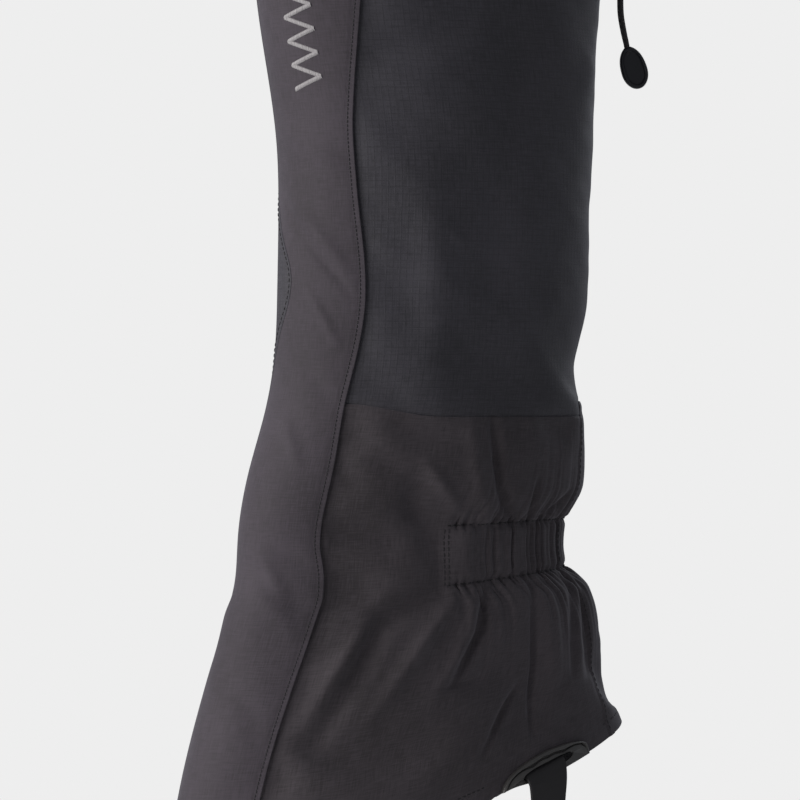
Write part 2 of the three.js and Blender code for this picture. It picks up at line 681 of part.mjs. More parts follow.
// A lever whose nose grips the strap against the back plate until it is lifted.
function addCam(pinX, pinZ, pinR, width, strapFace) {
  const hub = 3.1;
  const nose = pinX - strapFace - 0.3;
  const shape = new THREE.Shape();
  shape.absarc(0, 0, hub, -0.6 * Math.PI, 0.8 * Math.PI);
  shape.lineTo(-2.6, -14.5);
  shape.absarc(-1.2, -14.5, 1.4, Math.PI, 2 * Math.PI);
  const lever = plate(shape, width);
  const toe = new THREE.Shape([
    new THREE.Vector2(0, 2),
    new THREE.Vector2(nose, 0.5),
    new THREE.Vector2(nose, -0.5),
    new THREE.Vector2(0, -2.4),
  ]);
  const stand = (geometry) => geometry.rotateX(Math.PI / 2).translate(-pinX, 0, pinZ);
  const bore = plate(new THREE.Shape().absarc(0, 0, pinR + GAP, 0, 2 * Math.PI), width + 4, 20);
  add("buckle_cam", stand(cut(join(lever, plate(toe, width - 2)), bore)), "metal");
}

// The short webbing that hangs the buckle from the inner patch, looped round its top bar, and
// the keeper that holds the strap's free tail against it.
function addWebbing(barX, barThick, barTop, level) {
  const thick = 1.2;
  const width = BUCKLE.width - 9;
  const legX = STRAP.legX + 0.65;
  const inset = barThick / 2 + GAP + 0.1 + thick / 2; // the bar's middle to a loop wall's middle
  const across = 2 * inset + thick;
  const [wallZ, wallTall] = [barTop - 1.2, 5.2];
  const loop = join(
    box(across, width, thick, -barX, 0, barTop + GAP + 0.1 + thick / 2),
    box(thick, width, wallTall, -barX - inset, 0, wallZ),
    box(thick, width, wallTall, -barX + inset, 0, wallZ),
    box(across, width, thick, -barX, 0, wallZ - wallTall / 2),
  );
  const fall = [slotZ + 3, slotZ - 1, 70, 66, 62, 54];
  const leg = fall.map((z) => station(-legX, z, legAcross(-1, z, 56, 66), width));
  const foot = [
    station(-barX - 0.4, 50, level, width),
    station(-barX, barTop + 0.8, level, width),
  ];
  const strip = ribbon([...leg, ...foot], thick);
  add("buckle_webbing", join(strip, loop, ...anchorParts(-1, thick)), "tape");
  const [inX, outX] = [barX - thick / 2 - 1.1, STRAP.tailX + STRAP.thick / 2 + 0.4];
  const keeper = { middle: -(inX + outX) / 2, z: 52.5, tall: 5, wall: 1 };
  const { middle, z, tall, wall } = keeper;
  const ring = box(outX - inX + 2 * wall, STRAP.width + 1 + 2 * wall, tall, middle, 0, z);
  const hollow = box(outX - inX, STRAP.width + 1, tall + 4, middle, 0, z);
  add("strap_keeper", cut(ring, hollow), "rubber");
}

addPanels();
addLinings();
addTopTunnel();
addDrawcord();
addHangingCord();
addCordPull();
addCordLock();
addFlap();
addSnaps();
addEmbroidery();
addLaceHook();
addPatches();
addStrap();
addBuckle();

export default gaiter;
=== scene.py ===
"""The looks of a mountaineering gaiter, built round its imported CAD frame.

Sizes are in millimetres, in the CAD part's own frame: +Z up, -Y the toe side, +X the outer side.
The fabric is one family of sheets over the sleeve's surface, which all follow the same folds.
"""

import math

import bpy
import numpy as np
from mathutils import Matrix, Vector


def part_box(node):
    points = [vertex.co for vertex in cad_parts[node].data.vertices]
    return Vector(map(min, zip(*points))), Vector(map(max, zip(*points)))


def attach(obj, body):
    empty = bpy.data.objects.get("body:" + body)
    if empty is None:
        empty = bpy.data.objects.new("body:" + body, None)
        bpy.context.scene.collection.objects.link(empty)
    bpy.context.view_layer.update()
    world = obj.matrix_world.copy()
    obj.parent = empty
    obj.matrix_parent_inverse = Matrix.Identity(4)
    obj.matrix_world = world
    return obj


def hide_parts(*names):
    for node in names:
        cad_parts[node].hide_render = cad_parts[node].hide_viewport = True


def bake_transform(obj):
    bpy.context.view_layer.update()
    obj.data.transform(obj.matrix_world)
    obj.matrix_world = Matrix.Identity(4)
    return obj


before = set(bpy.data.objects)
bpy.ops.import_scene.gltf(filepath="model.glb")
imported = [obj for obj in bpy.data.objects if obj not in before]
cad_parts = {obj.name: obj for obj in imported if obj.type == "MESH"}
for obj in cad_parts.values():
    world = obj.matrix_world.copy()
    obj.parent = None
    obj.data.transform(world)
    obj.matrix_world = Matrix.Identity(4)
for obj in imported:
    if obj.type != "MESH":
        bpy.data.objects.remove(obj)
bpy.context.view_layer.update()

# ---------------------------------------------------------------- driving sizes

MM = 0.001
HEM, TOP = 47.0, 474.0
ANKLE_LOW, ANKLE_HIGH = 157.0, 185.0
CASING = (89.0, 271.0)  # degrees round from the toe line, the gathered stretch at the heel
TUNNEL_LOW = 452.0
BACK_SEAM = 150.0
TOE_EASE = 0.35
# Mean height, fore-aft centre, fore-aft and sideways half axes, and slope of each ring.
SECTIONS = np.array([
    [47, -54.5, 119.5, 50, 0.36],
    [86, -55, 108.7, 48, 0.24],
    [120, -50, 101.5, 45, 0.13],
    [146, -47.6, 93.4, 42, 0.08],
    [157, -51.4, 85.6, 40, 0.09],
    [185, -50.8, 83.8, 40, 0.03],
    [205, -44.4, 85.4, 44, 0],
    [239, -39.3, 79.9, 47, 0],
    [262, -38.7, 76.2, 48, 0],
    [291, -35.2, 78.2, 50, 0],
    [362, -33.1, 79.1, 51, 0],
    [434, -36.4, 86.9, 53, 0],
    [474, -36.8, 89.1, 54, 0],
])
# Height, and the arc positions of the storm flap's sewn root and of its free edge.
FLAP_LINES = np.array([
    [47, -14, 36],
    [100, -14, 38.5],
    [135, -14, 40.3],
    [165, -14, 39.5],
    [180, -14, 37],
    [210, -13, 38],
    [243, -10.5, 36.2],
    [293, -8, 42],
    [345, -13, 36.6],
    [375, -14.5, 36.6],
    [434, -15, 48.5],
    [474, -15, 52.5],
])
PANEL = 1.0  # offset of the panels' outer face from the sleeve's surface
FLAP_IN, FLAP_THICK = 1.9, 1.0
SLOT_HEIGHT = HEM + 5.5
SLOT_ANGLE = 118.0

FOLD_SEED = 11
FOLD_STRENGTH = 1.7


# ---------------------------------------------------------------- the sleeve's surface

def smooth(low, high, value):
    s = np.clip((value - low) / (high - low), 0, 1)
    return s * s * (3 - 2 * s)


def read_rows(rows, h):
    """The columns of a table at height h, as a smooth curve through its rows."""
    heights = rows[:, 0]
    count = len(rows)
    low = np.maximum(np.arange(count) - 1, 0)
    high = np.minimum(np.arange(count) + 1, count - 1)
    slope = (rows[high] - rows[low]) / (heights[high] - heights[low])[:, None]
    h = np.asarray(h, float)
    i = np.clip(np.searchsorted(heights, h) - 1, 0, count - 2)
    span = (heights[i + 1] - heights[i])[..., None]
    s = np.clip((h - heights[i])[..., None] / span, 0, 1)
    found = (2 * s**3 - 3 * s**2 + 1) * rows[i] + (s**3 - 2 * s**2 + s) * span * slope[i]
    found = found + (3 * s**2 - 2 * s**3) * rows[i + 1] + (s**3 - s**2) * span * slope[i + 1]
    return [found[..., k] for k in range(1, rows.shape[1])]


def bare(h, t):
    centre, fore, side, slope = read_rows(SECTIONS, h)
    drop = fore * np.cos(t)
    ease = 1 - TOE_EASE * np.maximum(0, np.cos(t))
    return np.stack([side * np.sin(t), centre - drop, h - slope * drop * ease], -1)


def unit(v):
    return v / np.maximum(np.linalg.norm(v, axis=-1, keepdims=True), 1e-12)


def tangents(h, t):
    along = bare(h, t + 0.01) - bare(h, t - 0.01)
    upper = np.minimum(h + 1, TOP)
    up = bare(upper, t) - bare(upper - 2, t)
    return along, up


def sleeve(h, t, offset=0.0):
    """Points at mean height h and angle t (0 is the toe line), offset outwards."""
    h, t = np.broadcast_arrays(np.asarray(h, float), np.asarray(t, float))
    along, up = tangents(h, t)
    out = unit(np.cross(along, up))
    return bare(h, t) + out * np.broadcast_to(offset, h.shape)[..., None]


ARC_H = np.arange(HEM, TOP + 3, 3.0)
ARC_T = np.radians(np.arange(-270, 361, 1.0))


def arc_table():
    points = bare(*np.meshgrid(ARC_H, ARC_T, indexing="ij"))
    run = np.linalg.norm(np.diff(points, axis=1), axis=-1)
    total = np.concatenate([np.zeros((len(ARC_H), 1)), np.cumsum(run, 1)], 1)
    return total - total[:, [int(np.argmin(abs(ARC_T)))]]


ARCS = arc_table()


def arc_at(h, t):
    """Arc length from the toe line along the ring at height h."""
    i = np.clip((h - ARC_H[0]) / 3.0, 0, len(ARC_H) - 1.001)
    j = np.clip((t - ARC_T[0]) / math.radians(1), 0, len(ARC_T) - 1.001)
    i0, j0 = i.astype(int), j.astype(int)
    u, v = i - i0, j - j0
    low = ARCS[i0, j0] * (1 - v) + ARCS[i0, j0 + 1] * v
    high = ARCS[i0 + 1, j0] * (1 - v) + ARCS[i0 + 1, j0 + 1] * v
    return low * (1 - u) + high * u


def angle_at(h, arc):
    i = min(max((h - ARC_H[0]) / 3.0, 0), len(ARC_H) - 1.001)
    row = ARCS[int(i)] * (1 - i % 1) + ARCS[int(i) + 1] * (i % 1)
    return float(np.interp(arc, row, ARC_T))


def flap_root(h):
    return read_rows(FLAP_LINES, h)[0]


def flap_edge(h):
    return read_rows(FLAP_LINES, h)[1]


def at_arc(arc):
    """An edge that runs at an arc position, which is a number or a function of the height."""
    return lambda h: angle_at(h, arc(h) if callable(arc) else arc)


def at_angle(degrees):
    return lambda h: math.radians(degrees)


# ---------------------------------------------------------------- folds and gathers

# Each fold: its course as (degrees round, height), its half width, and how far it stands out.
OUTER_FOLDS = [
    ([(96, 234), (104, 201), (115, 186)], 2.6, -2.4),
    ([(88, 232), (94, 205), (104, 187)], 4.5, 1.4),
    ([(119, 206), (124, 186)], 2.0, -1.8),
    ([(142, 200), (132, 187)], 2.2, -1.6),
    ([(74, 214), (80, 206), (92, 192)], 3.2, 1.3),
    ([(72, 206), (76, 194), (82, 186)], 7.0, -2.2),
    ([(50, 184), (70, 180), (90, 180)], 5.0, -1.1),
    ([(86, 155), (66, 143), (60, 121), (52, 98)], 6.5, -2.6),
    ([(90, 151), (78, 130), (67, 104)], 5.5, 1.8),
    ([(61, 140), (50, 112)], 6.0, 1.5),
    ([(103, 154), (97, 134), (90, 114)], 3.2, -2.4),
    ([(98, 152), (91, 128), (84, 108)], 4.5, 1.2),
    ([(84, 110), (98, 111)], 2.0, -0.9),
    ([(122, 154), (117, 113), (115, 70)], 2.0, -1.6),
    ([(128, 152), (124, 113), (122, 74)], 5.0, 1.0),
    ([(111, 103), (99, 74)], 2.6, -1.4),
    ([(45, 97), (60, 88), (76, 81)], 6.0, -1.2),
    ([(146, 154), (133, 101)], 3.2, -1.5),
    ([(155, 153), (144, 97)], 3.6, -1.5),
    ([(44, 401), (66, 412), (88, 424)], 8.0, -1.1),
    ([(66, 352), (70, 300), (73, 248)], 11.0, 1.6),
    ([(100, 440), (92, 330), (96, 250)], 12.0, -1.2),
]
# The inner side's folds lie much as the outer side's do, a little lower and further back.
INNER_FOLDS = [
    ([(a + 5, h - (4 if h > ANKLE_HIGH else 0)) for a, h in course], width, 0.85 * height)
    for course, width, height in OUTER_FOLDS
]
SCUFF = ([(74, 322), (79, 317)], 2.2, 0.45)  # a small crease, on the outer side only
FLAP_FOLDS = [
    ([(0, 334), (18, 313), (40, 289)], 2.2, -0.8),
    ([(2, 341), (22, 318), (40, 297)], 3.2, 0.9),
    ([(14, 296), (30, 270)], 2.6, 0.9),
    ([(12, 262), (38, 236)], 3.5, -0.6),
    ([(8, 235), (22, 213)], 3.0, 0.8),
    ([(2, 186), (18, 178), (34, 170)], 3.4, -0.9),
    ([(0, 179), (14, 170), (22, 158)], 3.0, 1.0),
    ([(8, 160), (34, 140)], 5.0, 1.2),
    ([(0, 372), (30, 352)], 5.0, 0.9),
    ([(10, 120), (36, 98)], 5.0, -0.7),
]


def course_in_arcs(course):
    return np.array([[float(arc_at(np.array(float(h)), np.array(math.radians(a)))), h] for a, h in course])


def add_stroke(x, y, course, width, height):
    """A fold's height at arc x and height y: a rounded ridge along its course, thin at the ends."""
    lengths = np.linalg.norm(np.diff(course, axis=0), axis=1)
    total, before = lengths.sum(), 0.0
    nearest = np.full(x.shape, np.inf)
    along = np.zeros(x.shape)
    for (x0, y0), (x1, y1), length in zip(course[:-1], course[1:], lengths):
        dx, dy = (x1 - x0) / length, (y1 - y0) / length
        s = np.clip((x - x0) * dx + (y - y0) * dy, 0, length)
        away = np.hypot(x - x0 - s * dx, y - y0 - s * dy)
        closer = away < nearest
        nearest = np.where(closer, away, nearest)
        along = np.where(closer, (before + s) / total, along)
        before += length
    taper = 0.4 + 0.6 * np.sin(math.pi * np.clip(along, 0, 1))
    return height * taper * np.exp(-((nearest / width) ** 2))


def ripples(x, y, size, seed):
    """Faint waves of mixed directions, between -1 and 1, with wavelengths about size."""
    draw = np.random.default_rng(seed)
    total = np.zeros(x.shape)
    waves = 7
    for _ in range(waves):
        angle, shift = draw.uniform(0, 2 * math.pi, 2)
        length = size * draw.uniform(0.7, 1.9)
        total += np.sin(2 * math.pi * (x * math.cos(angle) + y * math.sin(angle)) / length + shift)
    return total / waves * 1.6


def pleat(phase):
    """A row of narrow valleys between rounded tops: -1 in a valley and 0 on top."""
    return -((1 - np.abs(np.sin(math.pi * phase))) ** 1.8)


def pleat_phase(degrees, pitch):
    uneven = 0.32 * np.sin(0.37 * degrees + 1.0) + 0.22 * np.sin(0.83 * degrees + 4.0)
    return (degrees - CASING[0]) / pitch + uneven


def gathers(h, degrees):
    """The pull of the ankle elastic: pleats in its tunnel, notched seams, and fullness beside."""
    start, end = CASING
    inside = smooth(start - 1, start + 3, degrees) * smooth(end + 1, end - 3, degrees)
    beside = smooth(start - 8, start + 8, degrees) * smooth(end + 8, end - 8, degrees)
    settle = smooth(start + 6, start + 20, degrees) * smooth(end - 6, end - 20, degrees)
    fine, coarse = pleat_phase(degrees, 3.7), pleat_phase(degrees, 9.2)
    vary = 0.75 + 0.35 * np.sin(0.21 * degrees + 2.0) * np.sin(0.57 * degrees)
    above, below = np.maximum(h - ANKLE_HIGH, 0), np.maximum(ANKLE_LOW - h, 0)
    away = above + below
    to_seam = np.minimum(abs(h - ANKLE_HIGH), abs(h - ANKLE_LOW))
    within = smooth(-1, 3, np.minimum(h - ANKLE_LOW, ANKLE_HIGH - h))
    total = inside * within * (0.7 + settle * vary * (2.6 * pleat(coarse) + 0.5 * pleat(fine)))
    end_panel = smooth(start, start + 8, degrees) - smooth(start + 8, start + 13, degrees)
    total += 1.6 * within * end_panel
    total += inside * np.exp(-((to_seam / 2.6) ** 2)) * (-1.0 + 2.3 * vary * pleat(fine + 0.2))
    total += beside * np.exp(-away / 6) * smooth(0, 2, away) * (1.2 + 2.2 * vary * pleat(fine + 0.2))
    reach = np.where(h > ANKLE_HIGH, 13.0, 24.0)
    total += beside * np.exp(-away / reach) * smooth(0, 6, away) * 2.6 * vary * pleat(coarse + 0.1)
    total += beside * 1.1 * (away / 13) * np.exp(1 - away / 13)
    heel = smooth(128, 150, degrees) * smooth(232, 210, degrees)
    total += heel * 0.3 * np.exp(-(((h - 150) / 8) ** 2)) * smooth(ANKLE_LOW + 1, ANKLE_LOW - 6, h)
    return total


def top_gathers(h, degrees):
    """Light puckers under the drawcord's tunnel."""
    near = np.exp(-((h - 462) / 16) ** 2) * smooth(25, 60, degrees) * smooth(335, 300, degrees)
    return near * 0.7 * pleat(pleat_phase(degrees, 9.0))


def sewn_folds(h, t):
    """The folds that the sleeve's cut and its elastic set, before the cloth settles."""
    h, t = np.broadcast_arrays(np.asarray(h, float), np.asarray(t, float))
    turn = np.degrees(t) % 360
    outer = turn < 180
    side_angle = np.radians(np.where(outer, turn, 360 - turn))
    arc = arc_at(h, side_angle)
    total = np.zeros(h.shape)
    for strokes, here in ((OUTER_FOLDS + [SCUFF], outer), (INNER_FOLDS, ~outer)):
        mine = np.zeros(h.shape)
        for course, width, height in strokes:
            mine += add_stroke(arc, h, course_in_arcs(course), width, height)
        total += np.where(here, mine, 0)
    back = smooth(178, 150, np.minimum(turn, 360 - turn))
    total *= FOLD_STRENGTH * back
    signed = np.where(outer, arc, -arc)
    total += 0.5 * ripples(signed, h, 42, FOLD_SEED) + 0.15 * ripples(signed, h, 13, FOLD_SEED + 1)
    total += gathers(h, turn) + top_gathers(h, turn)
    # Flat under the flap, under the strap patches and at the two ends of the sleeve.
    edge = np.where(outer, flap_edge(h) - 2, 15)
    total *= smooth(edge, edge + 14, arc)
    to_patch = np.hypot((np.degrees(side_angle) - SLOT_ANGLE) / 24, (h - SLOT_HEIGHT) / 16)
    total *= smooth(0.8, 1.5, to_patch)
    return total * smooth(TOP + 2, TOP - 14, h)


DRAPE_H = np.linspace(HEM, TOP, 119)
DRAPE_T = np.radians(np.arange(0, 360, 3.0))
SLACK = 0.02  # the share by which the cloth is longer than the surface that it hangs on
STEPS = 22  # frames that the cloth is given to settle
DRAPE_SCALE = 10.0
WRINKLE = 2.2  # the furthest that a wrinkle may stand out or in


def held(h, t):
    """1 where the cloth is fixed by seams, tapes or other plies, and 0 where it hangs free."""
    turn = np.degrees(t) % 360
    side = np.minimum(turn, 360 - turn)
    arc = arc_at(h, np.radians(side))
    under_flap = smooth(6, 2, arc - np.where(turn < 180, flap_edge(h), 15))
    ends = np.maximum(smooth(HEM + 12, HEM + 7, h), smooth(TUNNEL_LOW - 4, TUNNEL_LOW, h))
    ankle = (side > CASING[0]) & (h > ANKLE_LOW - 3) & (h < ANKLE_HIGH + 3)
    seam = 0.5 * smooth(3, 1, abs(h - 240))
    patch = smooth(1.5, 1.1, np.hypot((side - SLOT_ANGLE) / 24, (h - SLOT_HEIGHT) / 16))
    return np.max([under_flap, ends, ankle * 1.0, seam, patch], axis=0)


def spread_out(field, times):
    """A grid round the sleeve with every point averaged with its neighbours a number of times."""
    for _ in range(times):
        across = np.roll(field, 1, axis=1) + 2 * field + np.roll(field, -1, axis=1)
        padded = np.pad(across, ((1, 1), (0, 0)), "edge")
        field = (padded[:-2] + 2 * padded[1:-1] + padded[2:]) / 16
    return field


def hang(piece):
    """Gives a piece the cloth's weight and stiffness, pinned by its vertex group."""
    cloth = piece.modifiers.new("cloth", "CLOTH")
    settings = cloth.settings
    settings.quality = 6
    settings.mass = 0.3
    settings.tension_stiffness = settings.compression_stiffness = 40
    settings.shear_stiffness = 12
    settings.bending_stiffness = 4.0
    settings.air_damping = 4.0
    settings.vertex_group_mass = "held"
    settings.pin_stiffness = 1.0
    settings.shrink_min = -SLACK
    settings.effector_weights.gravity = 0.3
    cloth.point_cache.frame_start, cloth.point_cache.frame_end = 1, STEPS


def simulated(points, faces, firm):
    """The points after the cloth has settled, where firm holds each of them by 0 to 1."""
    piece = new_object("drape", points * DRAPE_SCALE, faces)
    group = piece.vertex_groups.new(name="held")
    levels = firm.round(2)
    for level in np.unique(levels[levels > 0]):
        group.add(np.flatnonzero(levels == level).tolist(), float(level), "REPLACE")
    hang(piece)
    scene = bpy.context.scene
    for step in range(1, STEPS + 1):
        scene.frame_set(step)
    shape = piece.evaluated_get(bpy.context.evaluated_depsgraph_get()).data
    found = np.empty(points.size, np.float32)
    shape.vertices.foreach_get("co", found)
    piece.modifiers.clear()
    scene.frame_set(1)
    bpy.data.objects.remove(piece)
    return found.reshape(points.shape) / (MM * DRAPE_SCALE)


def drape():
    """Lets the sleeve's cloth sag and buckle between its seams, in a cloth simulation larger than
    life, and returns how far each point of the grid has moved outwards, in millimetres."""
    h, t = np.meshgrid(DRAPE_H, DRAPE_T, indexing="ij")
    across, up = tangents(h, t)
    out = unit(np.cross(across, up))
    start = bare(h, t) + out * sewn_folds(h, t)[..., None]
    index = np.arange(h.size).reshape(h.shape)
    beside = np.roll(index, -1, axis=1)
    faces = np.stack([index[:-1], beside[:-1], beside[1:], index[1:]], -1).reshape(-1, 4).tolist()
    firm = held(h, t)
    end = simulated(start.reshape(-1, 3), faces, firm.ravel()).reshape(start.shape)
    outward = np.clip(((end - start) * out).sum(-1), -14, 14)
    wrinkles = spread_out(outward, 1) - spread_out(outward, 90)
    calm = 0.3 + 0.7 * smooth(258, 226, h)  # the light upper cloth is cut closer
    return WRINKLE * np.tanh(wrinkles / WRINKLE) * (1 - firm) * calm


SETTLED = {}


def settled(h, t):
    """The simulated sag at any point, read from its grid."""
    if "field" not in SETTLED:
        SETTLED["field"] = drape()
    field = SETTLED["field"]
    i = np.clip((h - HEM) / (DRAPE_H[1] - DRAPE_H[0]), 0, len(DRAPE_H) - 1.001)
    j = (np.degrees(t) % 360) / 3.0 % len(DRAPE_T)
    i0, j0 = i.astype(int), j.astype(int)
    j1 = (j0 + 1) % len(DRAPE_T)
    u, v = i - i0, j - j0
    low = field[i0, j0] * (1 - v) + field[i0, j1] * v
    high = field[i0 + 1, j0] * (1 - v) + field[i0 + 1, j1] * v
    return low * (1 - u) + high * u


def folds(h, t):
    """How far the fabric stands out from the sleeve's surface at each point."""
    h, t = np.broadcast_arrays(np.asarray(h, float), np.asarray(t, float))
    return sewn_folds(h, t) + settled(h, t)


def flap_lift(h, t):
    """The flap's own soft creases, its folded edge and the dip along its topstitching."""
    h, t = np.broadcast_arrays(np.asarray(h, float), np.asarray(t, float))
    arc = arc_at(h, t)
    total = 0.3 * ripples(arc, h, 55, FOLD_SEED + 2) + 0.1 * ripples(arc, h, 15, FOLD_SEED + 3)
    for course, width, height in FLAP_FOLDS:
        total += add_stroke(arc, h, np.array(course, float), width, height)
    inset = flap_edge(h) - arc
    total *= smooth(0, 14, inset) * smooth(0, 10, arc - flap_root(h))
    total += 2.2 * np.exp(-(((h - 150) / 13) ** 2)) * smooth(-15, -4, arc) * smooth(30, 8, arc)
    return total - 0.22 * np.exp(-(((inset - 2.5) / 0.8) ** 2))


# ---------------------------------------------------------------- mesh builders

def new_object(name, points, faces, uvs=None, sharp=None):
    """A shaded mesh from points in millimetres; edges steeper than sharp degrees stay crisp."""
    mesh = bpy.data.meshes.new(name)
    mesh.from_pydata((np.asarray(points) * MM).tolist(), [], faces)
    if uvs is not None:
        layer = mesh.uv_layers.new(name="UVMap")
        corner = np.empty(len(mesh.loops), np.int32)
        mesh.loops.foreach_get("vertex_index", corner)
        layer.data.foreach_set("uv", np.asarray(uvs, np.float32)[corner].ravel())
    mesh.polygons.foreach_set("use_smooth", [True] * len(mesh.polygons))
    if sharp is not None:
        mesh.set_sharp_from_angle(angle=math.radians(sharp))
    mesh.update()
    made = bpy.data.objects.new(name, mesh)
    bpy.context.scene.collection.objects.link(made)
    return made


def rim_of(rows, columns):
    """The boundary of a grid as a loop of (row, column)."""
    loop = [(0, j) for j in range(columns)]
    loop += [(i, columns - 1) for i in range(1, rows)]
    loop += [(rows - 1, j) for j in range(columns - 2, -1, -1)]
    return loop + [(i, 0) for i in range(rows - 2, 0, -1)]


def shell(name, outer, inner, uv):
    """A sheet with two faces and a rounded edge, from two grids of points."""
    rows, columns = outer.shape[:2]
    size = rows * columns
    rim = rim_of(rows, columns)
    middle, middle_uv = [], []
    for i, j in rim:
        i2 = min(max(i, 1), rows - 2)
        j2 = min(max(j, 1), columns - 2)
        away = unit(outer[i, j] - outer[i2, j2])
        half = np.linalg.norm(outer[i, j] - inner[i, j]) / 2
        middle.append((outer[i, j] + inner[i, j]) / 2 + away * half * 0.6)
        middle_uv.append(uv[i, j])
    points = np.concatenate([outer.reshape(-1, 3), inner.reshape(-1, 3), np.array(middle)])
    uvs = np.concatenate([uv.reshape(-1, 2), uv.reshape(-1, 2), np.array(middle_uv)])
    index = np.arange(size).reshape(rows, columns)
    quads = np.stack([index[:-1, :-1], index[:-1, 1:], index[1:, 1:], index[1:, :-1]], -1).reshape(-1, 4)
    faces = quads.tolist() + (quads[:, ::-1] + size).tolist()
    for k, (i, j) in enumerate(rim):
        i2, j2 = rim[(k + 1) % len(rim)]
        here, there = i * columns + j, i2 * columns + j2
        mid, next_mid = 2 * size + k, 2 * size + (k + 1) % len(rim)
        faces.append([there, here, mid, next_mid])
        faces.append([next_mid, mid, here + size, there + size])
    return new_object(name, points, faces, uvs, 48)


def nominal(edge):
    return edge if not callable(edge) else float(edge(np.array(math.radians(BACK_SEAM))))


def sheet(name, low, high, start, end, face, thick, spacing=1.5, lift=folds):
    """A ply over the sleeve. Heights are numbers or functions of the angle, and the two side
    edges are functions of the height. face is the offset of its outer face."""
    rows = max(4, int((nominal(high) - nominal(low)) / spacing) + 1)
    v = np.linspace(0, 1, rows)
    heights = nominal(low) + (nominal(high) - nominal(low)) * v
    first = np.array([start(h) for h in heights])[:, None]
    last = np.array([end(h) for h in heights])[:, None]
    widest = abs(arc_at(heights, last[:, 0]) - arc_at(heights, first[:, 0])).max()
    u = np.linspace(0, 1, max(4, int(widest / spacing) + 1))[None, :]
    t = first + (last - first) * u
    bottom = low(t) if callable(low) else np.full(t.shape, float(low))
    top = high(t) if callable(high) else np.full(t.shape, float(high))
    h = bottom + (top - bottom) * v[:, None]
    stand = face(h, t) if callable(face) else face
    raised = stand + (lift(h, t) if lift else 0)
    uv = np.stack([arc_at(h, t), h], -1)
    return shell(name, sleeve(h, t, raised), sleeve(h, t, raised - thick), uv)


def lofted(name, loops, closed=False, sharp=None):
    """A skin over a row of loops with equal counts. Its ends are capped unless it closes."""
    loops = np.array(loops)
    count, around = loops.shape[:2]
    faces = []
    for i in range(count if closed else count - 1):
        a, b = i * around, ((i + 1) % count) * around
        for j in range(around):
            k = (j + 1) % around
            faces.append([a + j, a + k, b + k, b + j])
    if not closed:
        faces.append(list(range(around))[::-1])
        faces.append([(count - 1) * around + j for j in range(around)])
    run = np.linalg.norm(np.diff(loops[:, 0], axis=0, prepend=loops[:1, 0]), axis=-1).cumsum()
    u, v = np.meshgrid(np.linspace(0, 1, around, endpoint=False), run)
    return new_object(name, loops.reshape(-1, 3), faces, np.stack([u, v], -1).reshape(-1, 2), sharp)


def moved(place, points):
    points = np.asarray(points, float)
    return points @ place[:3, :3].T + place[:3, 3]


def stadium(length, height, count):
    """Points in order round a slot's outline: two half circles joined by straight sides."""
    ring = []
    for angle in np.linspace(0, 2 * math.pi, count, endpoint=False):
        middle = math.copysign(length / 2 - height / 2, math.cos(angle))
        ring.append([middle + height / 2 * math.cos(angle), height / 2 * math.sin(angle)])
    return np.array(ring)


def carve(piece, loops, sharp=None):
    """Cuts the body over these loops out of a piece."""
    cutter = lofted("cutter", loops)
    cut = piece.modifiers.new("cut", "BOOLEAN")
    cut.object, cut.operation, cut.solver = cutter, "DIFFERENCE", "EXACT"
    bpy.context.view_layer.update()
    shape = piece.evaluated_get(bpy.context.evaluated_depsgraph_get())
    mesh = bpy.data.meshes.new_from_object(shape)
    piece.modifiers.remove(cut)
    piece.data = mesh
    if sharp is not None:
        mesh.set_sharp_from_angle(angle=math.radians(sharp))
    bpy.data.objects.remove(cutter)


def turned(name, profile, place):
    """A turned piece about its place's z axis, from [radius, height] points."""
    around, sharp = 48, 32
    angles = np.linspace(0, 2 * math.pi, around, endpoint=False)
    circle = np.stack([np.cos(angles), np.sin(angles), np.zeros(around)], -1)
    closed = profile[0] == profile[-1]
    stations = profile[:-1] if closed else profile
    loops = [moved(place, circle * max(r, 0.01) + np.array([0, 0, z])) for r, z in stations]
    return lofted(name, loops, closed, sharp)


def curve_through(points, step):
    """A smooth course through points (Catmull-Rom), resampled at about one step."""
    p = np.asarray(points, float)
    p = np.concatenate([[2 * p[0] - p[1]], p, [2 * p[-1] - p[-2]]])
    s = np.linspace(0, 1, 12, endpoint=False)[:, None]
    dense = []
    for a, b, c, d in zip(p[:-3], p[1:-2], p[2:-1], p[3:]):
        bend = (2 * a - 5 * b + 4 * c - d) * s**2 + (3 * b - a - 3 * c + d) * s**3
        dense.append(0.5 * (2 * b + (c - a) * s + bend))
    dense = np.concatenate(dense + [p[-2:-1]])
    run = np.concatenate([[0], np.linalg.norm(np.diff(dense, axis=0), axis=1).cumsum()])
    marks = np.linspace(0, run[-1], max(3, int(run[-1] / step) + 1))
    return np.stack([np.interp(marks, run, dense[:, k]) for k in range(dense.shape[1])], -1)


def tube(name, points, radius, step=0.8):
    """A round cord along a smooth course, with rounded ends."""
    around = 14
    course = curve_through(points, step)
    ahead = unit(np.gradient(course, axis=0))
    side = unit(np.cross(ahead[0], [0.3, 0.2, 0.93]))
    angles = np.linspace(0, 2 * math.pi, around, endpoint=False)
    loops = []
    for i, (place, forward) in enumerate(zip(course, ahead)):
        side = unit(side - forward * np.dot(side, forward))
        up = np.cross(forward, side)
        edge = min(i, len(course) - 1 - i)
        r = radius * (0.55 if edge == 0 else 0.9 if edge == 1 else 1.0)
        loops.append(place + r * (np.cos(angles)[:, None] * side + np.sin(angles)[:, None] * up))
    return lofted(name, loops)


